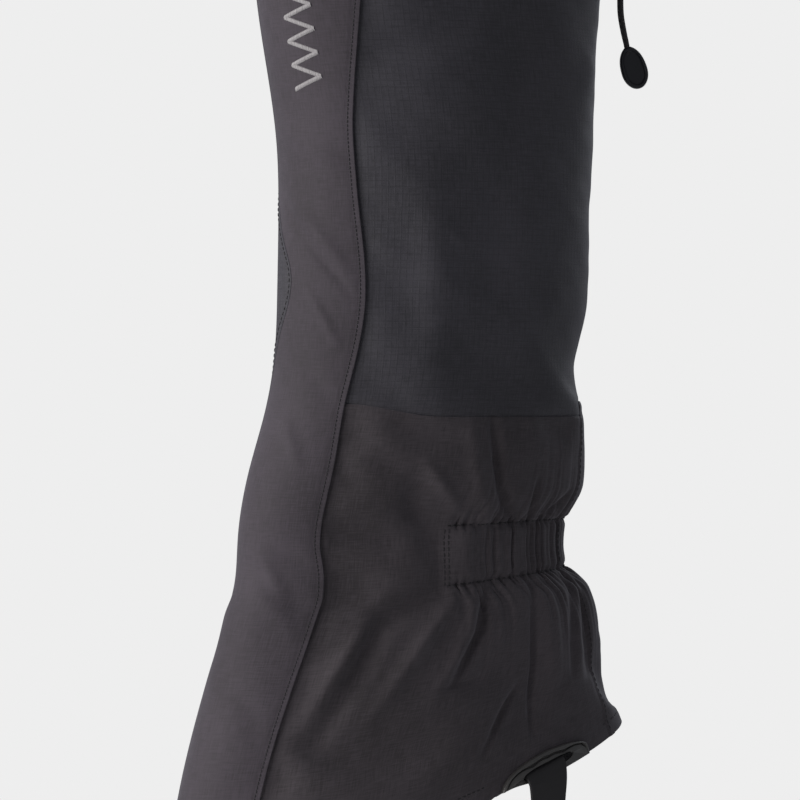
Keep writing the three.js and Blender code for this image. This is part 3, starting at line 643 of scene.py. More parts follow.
def capsules(name, centres, along, out, lengths, radius, arch=0.0):
    """Many short threads: each is centred at a point, lies along a direction and bows outwards."""
    around = 6
    stations = [(-0.5, 0.45, -0.6), (-0.34, 1, 0), (0, 1, 1), (0.34, 1, 0), (0.5, 0.45, -0.6)]
    angles = np.linspace(0, 2 * math.pi, around, endpoint=False)
    along, out = unit(along), unit(out)
    side = unit(np.cross(out, along))
    out = np.cross(along, side)
    lengths = np.broadcast_to(lengths, len(centres))[:, None]
    rings = []
    for share, wide, rise in stations:
        lift = rise * (arch if rise > 0 else radius * 0.8)
        base = centres + along * share * lengths + out * lift
        for angle in angles:
            rings.append(base + radius * wide * (side * math.cos(angle) + out * math.sin(angle)))
    points = np.stack(rings, 1)
    one = []
    for i in range(len(stations) - 1):
        for j in range(around):
            k = (j + 1) % around
            one.append([i * around + j, i * around + k, (i + 1) * around + k, (i + 1) * around + j])
    size = len(stations) * around
    last = size - around
    caps = [list(range(around))[::-1], list(range(last, size))]
    faces = [[v + n * size for v in face] for n in range(len(centres)) for face in one + caps]
    uv = np.zeros((len(centres) * size, 2))
    uv[:, 1] = np.repeat(np.arange(len(centres)), size)
    return new_object(name, points.reshape(-1, 3), faces, uv)


def stitches(name, heights, angles, face, lift=folds, length=2.0, gap=0.75, radius=0.26):
    """A row of stitches over the sleeve, along a course of heights and angles."""
    h, t = np.asarray(heights, float), np.asarray(angles, float)
    stand = face + (lift(h, t) if lift else 0)
    course = sleeve(h, t, stand)
    across, up = tangents(h, t)
    out = unit(np.cross(across, up))
    run = np.concatenate([[0], np.linalg.norm(np.diff(course, axis=0), axis=1).cumsum()])
    marks = np.arange(length, run[-1] - length / 2, length + gap)
    centres = np.stack([np.interp(marks, run, course[:, k]) for k in range(3)], -1)
    outs = np.stack([np.interp(marks, run, out[:, k]) for k in range(3)], -1)
    ahead = np.stack([np.interp(marks, run, g) for g in np.gradient(course, axis=0).T], -1)
    return capsules(name, centres, ahead, outs, length, radius, 0.08)


def frame_on(h, t, offset=0.0):
    """A local frame on the sleeve: x round the ring, y up, z outwards."""
    h, t = np.array(float(h)), np.array(float(t))
    along, up = tangents(h, t)
    z = unit(np.cross(along, up))
    x = unit(along)
    place = np.eye(4)
    place[:3, 0], place[:3, 1], place[:3, 2] = x, np.cross(z, x), z
    place[:3, 3] = sleeve(h, t, offset)
    return place


def shifted(place, x=0.0, y=0.0, z=0.0):
    made = place.copy()
    made[:3, 3] = moved(place, [x, y, z])
    return made


# ---------------------------------------------------------------- materials

class Finish:
    """A material's node graph, built one node at a time."""

    def __init__(self, name, roughness=0.6, metallic=0.0):
        self.material = bpy.data.materials.new(name)
        self.material.use_nodes = True
        self.tree = self.material.node_tree
        self.surface = self.tree.nodes["Principled BSDF"]
        self.set("Roughness", roughness)
        self.set("Metallic", metallic)
        coordinates = self.tree.nodes.new("ShaderNodeTexCoord")
        self.uv, self.place = coordinates.outputs["UV"], coordinates.outputs["Object"]

    def set(self, socket, value, node=None):
        target = (node or self.surface).inputs[socket]
        if isinstance(value, bpy.types.NodeSocket):
            self.tree.links.new(value, target)
        else:
            target.default_value = value

    def node(self, kind, inputs=None, **settings):
        made = self.tree.nodes.new("ShaderNode" + kind)
        for key, value in settings.items():
            setattr(made, key, value)
        for socket, value in (inputs or {}).items():
            self.set(socket, value, made)
        return made

    def math(self, operation, a, b=0.0, c=0.0):
        return self.node("Math", {0: a, 1: b, 2: c}, operation=operation).outputs[0]

    def scaled(self, vector, x, y, z=1.0):
        return self.node("Mapping", {"Vector": vector, "Scale": (x, y, z)}).outputs[0]

    def noise(self, vector, scale=1.0, detail=2.0, roughness=0.5):
        inputs = {"Vector": vector, "Scale": scale, "Detail": detail, "Roughness": roughness}
        return self.node("TexNoise", inputs).outputs[0]

    def tone(self, value, low, high):
        """A colour between two, as a value runs from 0.3 to 0.7."""
        ramp = self.node("MapRange", {"Value": value, "From Min": 0.3, "From Max": 0.7}).outputs[0]
        mixed = self.node("Mix", {"Factor": ramp}, data_type="RGBA")
        mixed.inputs[6].default_value = (*low, 1)
        mixed.inputs[7].default_value = (*high, 1)
        return mixed.outputs[2]

    def darken(self, colour, share):
        """The colour multiplied by a value."""
        mixed = self.node("Mix", {"Factor": 1.0}, data_type="RGBA", blend_type="MULTIPLY")
        self.tree.links.new(colour, mixed.inputs[6])
        self.tree.links.new(share, mixed.inputs[7])
        return mixed.outputs[2]

    def bump(self, height, distance, strength=1.0, under=None):
        inputs = {"Height": height, "Distance": distance * MM, "Strength": strength}
        if under is not None:
            inputs["Normal"] = under
        return self.node("Bump", inputs).outputs[0]

    def sheen(self, weight, tint, roughness=0.5):
        self.set("Sheen Weight", weight)
        self.set("Sheen Tint", (*tint, 1))
        self.set("Sheen Roughness", roughness)


def threads(finish, pitch):
    """The over-and-under of a plain weave, from UVs in millimetres: 0 to 1."""
    split = finish.node("SeparateXYZ", {0: finish.uv})
    waves = []
    for axis in (0, 1):
        turn = finish.math("MULTIPLY", split.outputs[axis], 2 * math.pi / pitch)
        waves.append(finish.math("SINE", turn))
    return finish.math("MULTIPLY_ADD", finish.math("MULTIPLY", *waves), 0.5, 0.5)


def grid_lines(finish, pitch, width):
    """1 on the heavier threads of a ripstop grid, 0 between them."""
    split = finish.node("SeparateXYZ", {0: finish.uv})
    lines = []
    for axis in (0, 1):
        share = finish.math("FRACT", finish.math("DIVIDE", split.outputs[axis], pitch))
        away = finish.math("ABSOLUTE", finish.math("SUBTRACT", share, 0.5))
        inputs = {"Value": away, "From Min": width / pitch, "From Max": 0.0}
        lines.append(finish.node("MapRange", inputs).outputs[0])
    return finish.math("MAXIMUM", *lines)


def slubs(finish):
    """Uneven threads: faint streaks along and across the cloth."""
    across = finish.noise(finish.scaled(finish.uv, 0.12, 1.9), 1.0, 3.0, 0.6)
    upward = finish.noise(finish.scaled(finish.uv, 1.9, 0.12), 1.0, 3.0, 0.6)
    return finish.math("MULTIPLY_ADD", finish.math("ADD", across, upward), 0.5, 0.0)


def woven(name, low, high, roughness, sheen, pitch=0.62, ripstop=False):
    finish = Finish(name, roughness)
    streaks = slubs(finish)
    cloud = finish.noise(finish.place, 18.0, 3.0)
    value = finish.math("MULTIPLY_ADD", cloud, 0.3, finish.math("MULTIPLY", streaks, 0.7))
    colour = finish.tone(finish.math("MULTIPLY_ADD", value, 2.4, -0.7), low, high)
    weave = threads(finish, pitch)
    shade = finish.math("MULTIPLY_ADD", weave, 0.24, 0.86)
    height = finish.math("MULTIPLY_ADD", streaks, 0.9, finish.math("MULTIPLY", weave, 0.5))
    if ripstop:
        lines = grid_lines(finish, 3.1, 0.5)
        shade = finish.math("MULTIPLY_ADD", lines, -0.15, shade)
        height = finish.math("MULTIPLY_ADD", lines, 0.6, height)
    finish.set("Base Color", finish.darken(colour, shade))
    creases = finish.noise(finish.place, 90.0, 4.0, 0.6)
    soft = finish.bump(creases, 0.35, 0.5)
    finish.set("Normal", finish.bump(height, 0.12, 0.55, soft))
    finish.set("Roughness", finish.math("MULTIPLY_ADD", streaks, 0.25, roughness - 0.12))
    finish.sheen(sheen, (0.9, 0.88, 1.0))
    return finish.material


def tape(name, colour, rib=0.9, sheen=0.15):
    """Ribbed woven tape, with its ribs across the length."""
    finish = Finish(name, 0.8)
    split = finish.node("SeparateXYZ", {0: finish.uv})
    ribs = finish.math("SINE", finish.math("MULTIPLY", split.outputs[1], 2 * math.pi / rib))
    grain = slubs(finish)
    height = finish.math("MULTIPLY_ADD", ribs, 0.3, grain)
    finish.set("Base Color", finish.tone(grain, [0.7 * c for c in colour], [1.35 * c for c in colour]))
    finish.set("Normal", finish.bump(height, 0.16, 0.7))
    finish.sheen(sheen, (1, 1, 1))
    return finish.material


def napped(name, colour, scale):
    """The hooks or loops of a touch fastener: a close, rough nap."""
    finish = Finish(name, 0.9)
    nap = finish.node("TexVoronoi", {"Vector": finish.uv, "Scale": scale}).outputs["Distance"]
    finish.set("Base Color", finish.tone(nap, [1.5 * c for c in colour], [0.6 * c for c in colour]))
    finish.set("Normal", finish.bump(nap, 0.6, 0.9))
    finish.sheen(0.4, (1, 1, 1))
    return finish.material


def braid(name, colour, rows, pitch):
    """Crossing strands round a cord, whose u runs once round it and v is in millimetres."""
    finish = Finish(name, 0.75)
    split = finish.node("SeparateXYZ", {0: finish.uv})
    around = finish.math("MULTIPLY", split.outputs[0], 2 * math.pi * rows)
    along = finish.math("MULTIPLY", split.outputs[1], 2 * math.pi / pitch)
    one = finish.math("SINE", finish.math("ADD", around, along))
    two = finish.math("SINE", finish.math("SUBTRACT", around, along))
    height = finish.math("MAXIMUM", one, two)
    shade = finish.math("MULTIPLY_ADD", height, 0.25, 0.5)
    finish.set("Base Color", finish.tone(shade, [0.5 * c for c in colour], [1.4 * c for c in colour]))
    finish.set("Normal", finish.bump(height, 0.2, 0.8))
    finish.sheen(0.2, (1, 1, 1))
    return finish.material


def moulded(name, low, high, roughness, grain, depth=0.05, coat=0.0):
    """Moulded rubber or plastic: a fine grain, and handling that has polished it unevenly."""
    finish = Finish(name, roughness)
    cloud = finish.noise(finish.place, 60.0, 3.0)
    finish.set("Base Color", finish.tone(cloud, low, high))
    finish.set("Roughness", finish.math("MULTIPLY_ADD", cloud, 0.25, roughness - 0.12))
    speckle = finish.noise(finish.place, grain, 3.0, 0.7)
    finish.set("Normal", finish.bump(speckle, depth, 0.6))
    finish.set("Coat Weight", coat)
    return finish.material


def metal(name, low, high, roughness, brushed=0.0, metallic=1.0):
    """Pressed or drawn metal: fine scratches one way, and duller patches."""
    finish = Finish(name, roughness, metallic)
    cloud = finish.noise(finish.place, 140.0, 4.0, 0.65)
    scratches = finish.noise(finish.scaled(finish.place, 4000, 300, 4000), 1.0, 2.0)
    finish.set("Base Color", finish.tone(cloud, low, high))
    finish.set("Roughness", finish.math("MULTIPLY_ADD", cloud, 0.3, roughness - 0.1))
    finish.set("Normal", finish.bump(scratches, 0.03 + 0.05 * brushed, 0.5))
    return finish.material


def satin_thread(name, low, high):
    """Embroidery thread: bright, with a soft shine along each strand."""
    finish = Finish(name, 0.45)
    strand = finish.noise(finish.scaled(finish.uv, 0, 0.9), 1.0, 1.0)
    finish.set("Base Color", finish.tone(strand, low, high))
    fibres = finish.noise(finish.place, 2500.0, 2.0)
    finish.set("Normal", finish.bump(fibres, 0.06, 0.5))
    finish.sheen(0.3, (1, 1, 1))
    return finish.material


FINISHES = {name: kind(name, *values) for kind, name, *values in (
    (woven, "ripstop", (0.025, 0.023, 0.029), (0.051, 0.047, 0.059), 0.62, 0.12, 0.5, True),
    (woven, "heavy_fabric", (0.029, 0.023, 0.0265), (0.063, 0.052, 0.06), 0.78, 0.15),
    (woven, "flap_fabric", (0.0255, 0.0193, 0.0252), (0.054, 0.0426, 0.0553), 0.76, 0.2),
    (tape, "binding_tape", (0.017, 0.017, 0.019)),
    (napped, "hook_and_loop", (0.016, 0.016, 0.018), 1.5),
    (tape, "elastic", (0.02, 0.02, 0.022), 1.6),
    (braid, "cord", (0.033, 0.028, 0.03), 4, 3.2),
    (moulded, "coated_strap", (0.011, 0.01, 0.011), (0.018, 0.016, 0.018), 0.6, 1500.0),
    (moulded, "moulded_rubber", (0.05, 0.047, 0.046), (0.069, 0.064, 0.062), 0.42, 900.0, 0.05, 0.3),
    (moulded, "black_plastic", (0.011, 0.011, 0.015), (0.017, 0.017, 0.023), 0.42, 1200.0),
    (metal, "dark_metal", (0.02, 0.02, 0.023), (0.05, 0.05, 0.055), 0.35, 0.0, 0.6),
    (metal, "bare_metal", (0.36, 0.36, 0.37), (0.5, 0.5, 0.5), 0.32, 1.0),
    (satin_thread, "embroidery_thread", (0.27, 0.25, 0.26), (0.5, 0.48, 0.49)),
)}
SEAM_THREAD = moulded("seam_thread", (0.01, 0.009, 0.011), (0.026, 0.024, 0.028), 0.6, 2000.0)


def finished(piece, body, slot, *nodes, material=None):
    """Gives a piece its material, the slot's finish unless a material is given, lets it ride on a body, and
    hides what it stands for.
    """
    piece.data.materials.append(material or FINISHES[slot])
    if body:
        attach(piece, body)
    if nodes:
        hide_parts(*nodes)
    return piece


def sewn(piece, body="sleeve"):
    """Finishes a row of stitches."""
    return finished(piece, body, "binding_tape", material=SEAM_THREAD)


# ---------------------------------------------------------------- sleeve panels

def seam_outer(t):
    """The seam between the two fabrics rises from the back of the leg to the flap."""
    return 235.8 + 6.0 * smooth(math.radians(78), math.radians(40), t)


def seam_inner(t):
    return 243.0 + 2.0 * smooth(math.radians(-78), math.radians(-20), t)


def hem_line(t):
    """The hem's height, which rises a little at the toe end of each strap patch."""
    side = np.degrees(np.abs((t + math.pi) % (2 * math.pi) - math.pi))
    return HEM + 3.6 * smooth(95, 103, side) * smooth(117, 105, side)


def tucked(seam):
    """The upper panel's face, which dips behind the lower panel at their seam."""
    return lambda h, t: PANEL - 0.15 - 0.75 * smooth(seam(t) + 2.2, seam(t) - 1, h)


def lapped(seam, felled_at=None):
    """The lower panel's face: its turned-in top edge, and a thicker felled back edge if it has one."""
    def face(h, t):
        turned_in = 0.35 * smooth(seam(t) - 5, seam(t) - 3, h) - 0.25 * smooth(seam(t) - 0.7, seam(t), h)
        if felled_at is None:
            return PANEL + turned_in
        away = abs(np.degrees(t) - felled_at) * 1.2
        return PANEL + turned_in + 0.5 * smooth(4.5, 3.0, away)
    return face


def slot_angles(side):
    return side * math.radians(SLOT_ANGLE)


def cut_slot(piece, side):
    """Opens the strap's slot through a ply."""
    place = frame_on(SLOT_HEIGHT, slot_angles(side))
    length, height, reach = 34.0, 5.4, 10.0
    carve(piece, [moved(place, np.insert(stadium(length, height, 40), 2, z, 1)) for z in (-reach, reach)])


def make_panels():
    tuck = 1.5
    sides = (
        ("outer", 1, seam_outer, at_arc(6), at_angle(BACK_SEAM), BACK_SEAM, 1.5, 1.1),
        ("inner", -1, seam_inner, at_angle(BACK_SEAM - 360), at_arc(-8), None, 1.8, 1.4),
    )
    for side, sign, seam, start, end, felled_at, upper_spacing, lower_spacing in sides:
        upper = sheet(f"upper_{side}_cloth", lambda t: seam(t) - tuck, TUNNEL_LOW + 4, start, end,
                      tucked(seam), 0.8, upper_spacing)
        finished(upper, "sleeve", "ripstop", f"{side}_upper_panel")
        lower = sheet(f"lower_{side}_cloth", hem_line, seam, start, end,
                      lapped(seam, felled_at), 0.9, lower_spacing)
        cut_slot(lower, sign)
        finished(lower, "sleeve", "heavy_fabric", f"{side}_lower_panel")


def make_seams():
    count = 400
    for name, height in (("ankle_stitch_top", ANKLE_HIGH), ("ankle_stitch_bottom", ANKLE_LOW)):
        turn = np.radians(np.linspace(*CASING, 500))
        sewn(stitches(name, np.full(500, height), turn, PANEL + 0.15))
    for name, degrees in (("ankle_stitch_outer_end", CASING[0]), ("ankle_stitch_inner_end", CASING[1])):
        for shift in (0.0, 1.3):
            h = np.linspace(ANKLE_LOW - 1, ANKLE_HIGH, 60)
            t = np.radians(np.full(60, degrees + shift))
            sewn(stitches(f"{name}_{int(shift)}", h, t, PANEL + 0.15))
    h = np.linspace(HEM + 3, seam_outer(math.radians(BACK_SEAM)) - 2, count)
    t = np.radians(np.full(count, BACK_SEAM - 2.2))
    sewn(stitches("back_stitch_lower", h, t, PANEL + 0.5))
    for name, start, end in (("outer", 8, 99), ("back", 144, 216), ("inner", 261, 350)):
        t = np.radians(np.linspace(start, end, count))
        sewn(stitches("hem_stitch_" + name, np.full(count, HEM + 10.0), t, PANEL))


def make_linings():
    """The plies sewn inside the sleeve, which follow the panels' folds."""
    inside = -0.35
    gusset = sheet("gusset_cloth", HEM + 1, TUNNEL_LOW + 8, at_arc(-14), at_arc(12), inside, 0.8, 2.0)
    finished(gusset, "sleeve", "heavy_fabric", "front_gusset")
    beside = at_angle(BACK_SEAM - 4), at_angle(BACK_SEAM + 4)
    for name, low, high, node in (
        ("back_tape_lower", HEM + 14, ANKLE_LOW - 4, "back_seam_tape_lower"),
        ("back_tape_upper", ANKLE_HIGH + 4, TUNNEL_LOW - 2, "back_seam_tape_upper"),
    ):
        finished(sheet(name, low, high, *beside, inside, 0.5, 1.8), "sleeve", "binding_tape", node)
    facings = (
        ("hem_tape_outer", at_arc(13), at_angle(103), "hem_facing_outer"),
        ("hem_tape_back", at_angle(140), at_angle(220), "hem_facing_back"),
        ("hem_tape_inner", at_angle(-103), at_arc(-15), "hem_facing_inner"),
    )
    for name, start, end, node in facings:
        piece = sheet(name, hem_line, HEM + 12, start, end, inside, 0.7, 1.8)
        finished(piece, "sleeve", "binding_tape", node)
    elastic = sheet("ankle_elastic_band", ANKLE_LOW + 3, ANKLE_HIGH - 3, at_angle(91), at_angle(269),
                    inside, 0.9)
    finished(elastic, "sleeve", "elastic", "ankle_elastic")
    lining = sheet("ankle_tunnel_cloth", ANKLE_LOW + 1, ANKLE_HIGH - 1, at_angle(89), at_angle(271),
                   -1.8, 0.7)
    finished(lining, "sleeve", "heavy_fabric", "ankle_tunnel_lining")


def make_slot_shade_sheets():
    """A dark sheet behind each strap slot, bowed inwards to leave room for the strap's anchor. It is
    painted shade: it stands in for the shadow inside the sleeve, seen through the slot.
    """
    first, last = math.radians(SLOT_ANGLE - 16), math.radians(SLOT_ANGLE + 17)
    for side, name in ((1, "slot_shade_sheet_outer"), (-1, "slot_shade_sheet_inner")):
        def face(h, t):
            span = smooth(first, first + 0.16, side * t) * smooth(last, last - 0.16, side * t)
            return -0.4 - 6.0 * span * smooth(HEM + 19, HEM + 12, h)
        ends = sorted((side * first, side * last))
        start, end = (lambda h, t=ends[0]: t), (lambda h, t=ends[1]: t)
        piece = sheet(name, lambda t: hem_line(t) - 1.0, HEM + 19, start, end, face, 0.6, 1.2, None)
        # the dark tape finish here is painted shade, the shadow inside the sleeve behind the slot
        finished(piece, "sleeve", "binding_tape")


# ---------------------------------------------------------------- top tunnel, drawcord and lock

CORD_HEIGHT = (TUNNEL_LOW + TOP) / 2 + 1
EXIT_ANGLE = math.radians(165)
CORD_R = 1.25
LOCK_HALF = 2.2
EXIT = frame_on(CORD_HEIGHT, EXIT_ANGLE)
HANG_DOWN, HANG_OUT, HANG_TILT = 7.0, 9.6, math.radians(5.6)
PULL_BELOW, PULL_OUT = 43.4, 1.6


def hang_place():
    place = shifted(EXIT, 0, -HANG_DOWN, HANG_OUT)
    c, s = math.cos(-HANG_TILT), math.sin(-HANG_TILT)
    turn = np.array([[1, 0, 0, 0], [0, c, -s, 0], [0, s, c, 0], [0, 0, 0, 1]])
    return place @ turn


HANG = hang_place()


def make_top_hem():
    """The folded hem: down outside and inside from a round fold at the rim."""
    out, inside, thick = 2.3, -2.5, 0.8
    middle, half = (out + inside) / 2, (out - inside) / 2
    bend = np.linspace(0, math.pi, 9)
    wall = np.linspace(TUNNEL_LOW, TOP - half, 12)

    def fold(inset):
        """One face of the fold, from its outer foot over the rim to its inner foot."""
        reach = half - inset
        rounded = [(TOP - half + reach * math.sin(a), middle + reach * math.cos(a)) for a in bend]
        down_outside = [(h, out - inset) for h in wall[:-1]]
        down_inside = [(h, inside + inset) for h in wall[-2::-1]]
        return down_outside + rounded + down_inside

    profile = np.array(fold(0.0) + fold(thick)[::-1])
    heights, offsets = np.minimum(profile[:, 0], TOP), profile[:, 1]
    start, end = angle_at(TOP, 6), angle_at(TOP, -8) + 2 * math.pi
    stations = 280
    loops = []
    for t in np.linspace(start, end, stations):
        turn = np.full(len(heights), t)
        loops.append(sleeve(heights, turn, offsets + folds(heights, turn)))
    piece = lofted("top_hem_cloth", loops)
    girth = 470
    flat = np.array([[arc, h] for arc in np.linspace(0, girth, stations) for h in profile[:, 0]])
    corner = np.empty(len(piece.data.loops), np.int32)
    piece.data.loops.foreach_get("vertex_index", corner)
    piece.data.uv_layers[0].data.foreach_set("uv", flat[corner].astype(np.float32).ravel())
    finished(piece, "sleeve", "heavy_fabric", "top_hem_tunnel")
    turn = np.linspace(start + 0.03, end - 0.03, 900)
    sewn(stitches("top_hem_stitch", np.full(900, TUNNEL_LOW + 2.2), turn, out + 0.1))


def make_cords():
    """The drawcord: its hidden runs, the leads down to the lock, and the loop that hangs."""
    depth = 0.2

    def lead(side):
        bends = [
            [4.2, 0, 0.4], [4.2, 0, 3.0], [3.9, -0.4, 5.2],
            [3.0, -2.2, 8.2], [LOCK_HALF, -HANG_DOWN + 0.8, HANG_OUT],
        ]
        return moved(EXIT, [[side * x, y, z] for x, y, z in bends])

    beside = math.radians(7)
    for side, name, first in (
        (-1, "drawcord_outer", angle_at(TOP, 10)),
        (1, "drawcord_inner", angle_at(TOP, -12) + 2 * math.pi),
    ):
        turn = np.linspace(first, EXIT_ANGLE + side * beside, 24)
        run = sleeve(np.full(24, CORD_HEIGHT), turn, depth)
        piece = tube(name + "_cord", np.concatenate([run, lead(side)]), CORD_R, 1.2)
        finished(piece, "sleeve", "cord", name + "_run")
    strand = [
        [LOCK_HALF, 0, 0], [2.1, -9, 0.1], [1.9, -18, -0.3], [1.75, -27, -0.6],
        [1.4, -35, 0.2], [0.7, 1.5 - PULL_BELOW, PULL_OUT - 0.3], [0.4, -PULL_BELOW - 2, PULL_OUT + 0.1],
    ]
    other = [[-x, y, z] for x, y, z in strand]
    path = other + [[0, -PULL_BELOW - 3.2, PULL_OUT + 0.3]] + strand[::-1]
    finished(tube("hanging_cord_loop", moved(HANG, path), CORD_R), "cord", "cord", "hanging_cord")


def make_eyelets():
    ring = [
        [1.9, 2.2], [3.7, 2.35], [3.9, 2.6], [3.7, 3.1], [3.1, 3.4], [2.5, 3.35],
        [2.05, 3.0], [1.9, 2.6], [1.9, 2.2],
    ]
    for side, name in ((-1, "eyelet_outer"), (1, "eyelet_inner")):
        finished(turned(name + "_ring", ring, shifted(EXIT, side * 4.2)), "sleeve", "dark_metal", name)


def make_lock():
    """A barrel lock with its sprung button, laid across the two cords."""
    place = shifted(HANG, 0, -8.5, 0)
    lay = place.copy()
    lay[:3, 0], lay[:3, 1], lay[:3, 2] = -place[:3, 2], place[:3, 1], place[:3, 0]
    barrel = [
        [0, -11.7], [3.6, -11.7], [5.0, -11.2], [5.7, -10.4], [6.0, -9.4],
        [6.0, -6.2], [5.75, -5.9], [5.75, -5.5], [6.0, -5.2], [6.0, 5.2], [5.75, 5.5], [5.75, 5.9],
        [6.0, 6.2], [6.0, 6.8], [5.8, 7.3], [5.3, 7.5], [4.0, 7.5], [3.9, 7.2], [3.9, 4.0], [0, 4.0],
    ]
    piece = turned("cord_lock_barrel", barrel, lay)
    length, height, reach = 6.9, 3.3, 10.0  # of the channel for the two cords
    outline = stadium(length, height, 24)
    carve(piece, [moved(place, np.insert(outline, 1, y, 1)) for y in (-reach, reach)], 32)
    finished(piece, "lock", "black_plastic", "lock_barrel")
    button = [
        [0, 7.2], [3.5, 7.2], [3.5, 11.0], [5.0, 11.2], [5.4, 11.7], [5.45, 12.6],
        [5.1, 13.5], [4.2, 14.1], [2.2, 14.3], [0, 14.2],
    ]
    finished(turned("cord_lock_button", button, lay), "plunger", "black_plastic", "lock_plunger")


def egg():
    """The cord pull's outline, narrow at the cord and round below: centred near its middle."""
    length, half, neck = 20.6, 6.3, 1.5
    foot, shoulder = 12.0, 3.2
    s = np.linspace(0, 1, 15)[:-1]
    right = [[(1 - v) ** 2 * neck + 2 * v * (1 - v) * half + v * v * half,
              -2 * v * (1 - v) * shoulder - v * v * foot] for v in s]
    deep = length - foot
    bottom = [[half * math.cos(a), -foot - deep * math.sin(a)] for a in np.linspace(0, math.pi, 29)]
    left = [[-x, y] for x, y in right[::-1]]
    return np.array(right + bottom + left)


def make_pull():
    """A flat drop with a raised rim round a dished face on both sides."""
    outline = egg()
    centre = np.array([0, -11.5])
    reach = np.linalg.norm(outline - centre, axis=1, keepdims=True)
    inward = (centre - outline) / reach
    steps = [
        (5.6, 1.25), (3.4, 1.2), (2.6, 1.15), (2.1, 1.35), (1.8, 1.9), (1.45, 2.2), (0.9, 2.3),
        (0.4, 2.05), (0.1, 1.5), (0.0, 0.7),
    ]
    profile = steps + [(inset, -z) for inset, z in steps[::-1]]
    lean = math.radians(14)
    swing = np.eye(4)
    swing[1:3, 1:3] = [[math.cos(lean), math.sin(lean)], [-math.sin(lean), math.cos(lean)]]
    place = shifted(HANG, 0, -PULL_BELOW, PULL_OUT) @ swing
    loops = []
    for inset, z in profile:
        flat = outline + inward * np.minimum(inset, reach * 0.9)
        loops.append(moved(place, np.stack([np.full(len(flat), z), flat[:, 1], flat[:, 0]], -1)))
    piece = lofted("cord_pull_drop", loops, sharp=60)
    finished(piece, "cord", "black_plastic", "cord_pull")


# ---------------------------------------------------------------- front closure


def hinge_blend(piece):
    """Bakes the piece's placement into its mesh."""
    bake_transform(piece)


def cover_swell(h):
    """The cover over the flap's root is widest at the middle of the shin: 1 there, 0 at the ends."""
    return np.exp(-(((h - 300) / 25) ** 2))


def cover_edge(h):
    return flap_root(h) + 0.4 + 13.0 * cover_swell(h)


def cover_face(h, t):
    """The cover slopes down from the flap to the inner panel."""
    return 3.15 - 1.1 * smooth(0.4, -4.4, arc_at(h, t) - flap_root(h))


def make_flap():
    root = at_arc(lambda h: flap_root(h) - 0.5)
    face = FLAP_IN + FLAP_THICK
    piece = sheet("storm_flap", HEM + 0.5, TOP - 0.5, root, at_arc(flap_edge), face, FLAP_THICK, 1.2,
                  flap_lift)
    finished(piece, None, "flap_fabric", "front_flap")
    hinge_blend(piece)
    h = np.linspace(HEM + 2, TOP - 2, 900)
    t = np.array([angle_at(v, float(flap_edge(v)) - 2.3) for v in h])
    sewn(stitches("flap_edge_stitch", h, t, face + 0.12, flap_lift, 1.5, 0.45, 0.22), "flap")
    t = np.array([angle_at(v, float(cover_edge(v) - 3.4 + 2.2 * cover_swell(v))) for v in h])
    row = stitches("flap_root_stitch", h, t, cover_face(h, t) + 0.1, flap_lift, radius=0.22)
    hinge_blend(sewn(row, None))
    strip = [at_arc(lambda v: flap_edge(v) - 25), at_arc(lambda v: flap_edge(v) - 4)]
    loop = sheet("loop_tape", 84, 430, *strip, 1.55, 0.5, 1.8, None)
    finished(loop, "sleeve", "hook_and_loop", "loop_strip")
    hook = sheet("hook_tape", 84, 430, *strip, FLAP_IN - 0.05, 0.35, 1.8, flap_lift)
    finished(hook, "flap", "hook_and_loop", "hook_strip")
    cover_root = at_arc(lambda v: flap_root(v) - 4.4)
    cover = sheet("flap_root_cover", HEM + 0.5, TOP - 1, cover_root, at_arc(cover_edge), cover_face,
                  0.9, 1.2, flap_lift)
    finished(cover, None, "binding_tape", "flap_root_binding", material=FINISHES["ripstop"])
    hinge_blend(cover)


def make_snaps():
    """Press studs at both ends of the flap: a cap outside, a socket inside, a stud below."""
    profiles = (
        ("cap", FLAP_IN + FLAP_THICK, "flap", [
            [0, 0.1], [5.9, 0.1], [6.0, 0.35], [5.7, 0.75], [5.0, 1.0], [4.5, 1.15], [3.2, 1.45], [0, 1.6],
        ]),
        ("socket", FLAP_IN + 0.05, "flap", [
            [2.3, -0.7], [4.4, -0.7], [4.8, -0.35], [4.8, 0.0], [2.3, 0.0], [2.3, -0.7],
        ]),
        ("stud", PANEL, "sleeve", [
            [0, 0], [4.3, 0], [4.6, 0.2], [4.3, 0.4], [1.9, 0.5],
            [1.6, 0.7], [1.6, 0.95], [1.2, 1.1], [0, 1.1],
        ]),
    )
    arc = 25.5
    for end, h in (("bottom", 66.0), ("top", 443.0)):
        for part, offset, body, profile in profiles:
            made = turned(f"press_{part}_{end}", profile, frame_on(h, angle_at(h, arc), offset))
            finished(made, body, "dark_metal", f"snap_{part}_{end}")


def make_embroidery():
    """A plain zigzag in satin stitch: close threads across each stroke."""
    peaks, pitch, reach, stroke, pace = 4, 5.5, 7.0, 2.4, 0.36
    height, arc = 411.0, 18.0
    corners = [((reach if i % 2 else -reach), (i - peaks) * pitch) for i in range(2 * peaks + 1)]
    across, ups, ends = [], [], []
    for (x0, y0), (x1, y1) in zip(corners[:-1], corners[1:]):
        count = int(math.hypot(x1 - x0, y1 - y0) / pace)
        for s in np.linspace(0, 1, count, endpoint=False):
            across.append(x0 + (x1 - x0) * s)
            ups.append(y0 + (y1 - y0) * s)
            ends.append(1.0 if x1 > x0 else -1.0)
    across, ups = np.array(across), np.array(ups)
    h = height + ups
    t = np.array([angle_at(v, arc + x) for v, x in zip(h, across)])
    base = FLAP_IN + FLAP_THICK + 0.12 + flap_lift(h, t)
    centres = sleeve(h, t, base)
    along, up = tangents(h, t)
    out = unit(np.cross(along, up))
    direction = unit(unit(up) + 0.15 * unit(along) * np.array(ends)[:, None])
    piece = capsules("zigzag_stitching", centres, direction, out, stroke, 0.24, 0.3)
    finished(piece, "flap", "embroidery_thread", "embroidered_mark")


# ---------------------------------------------------------------- strap, patches and buckle

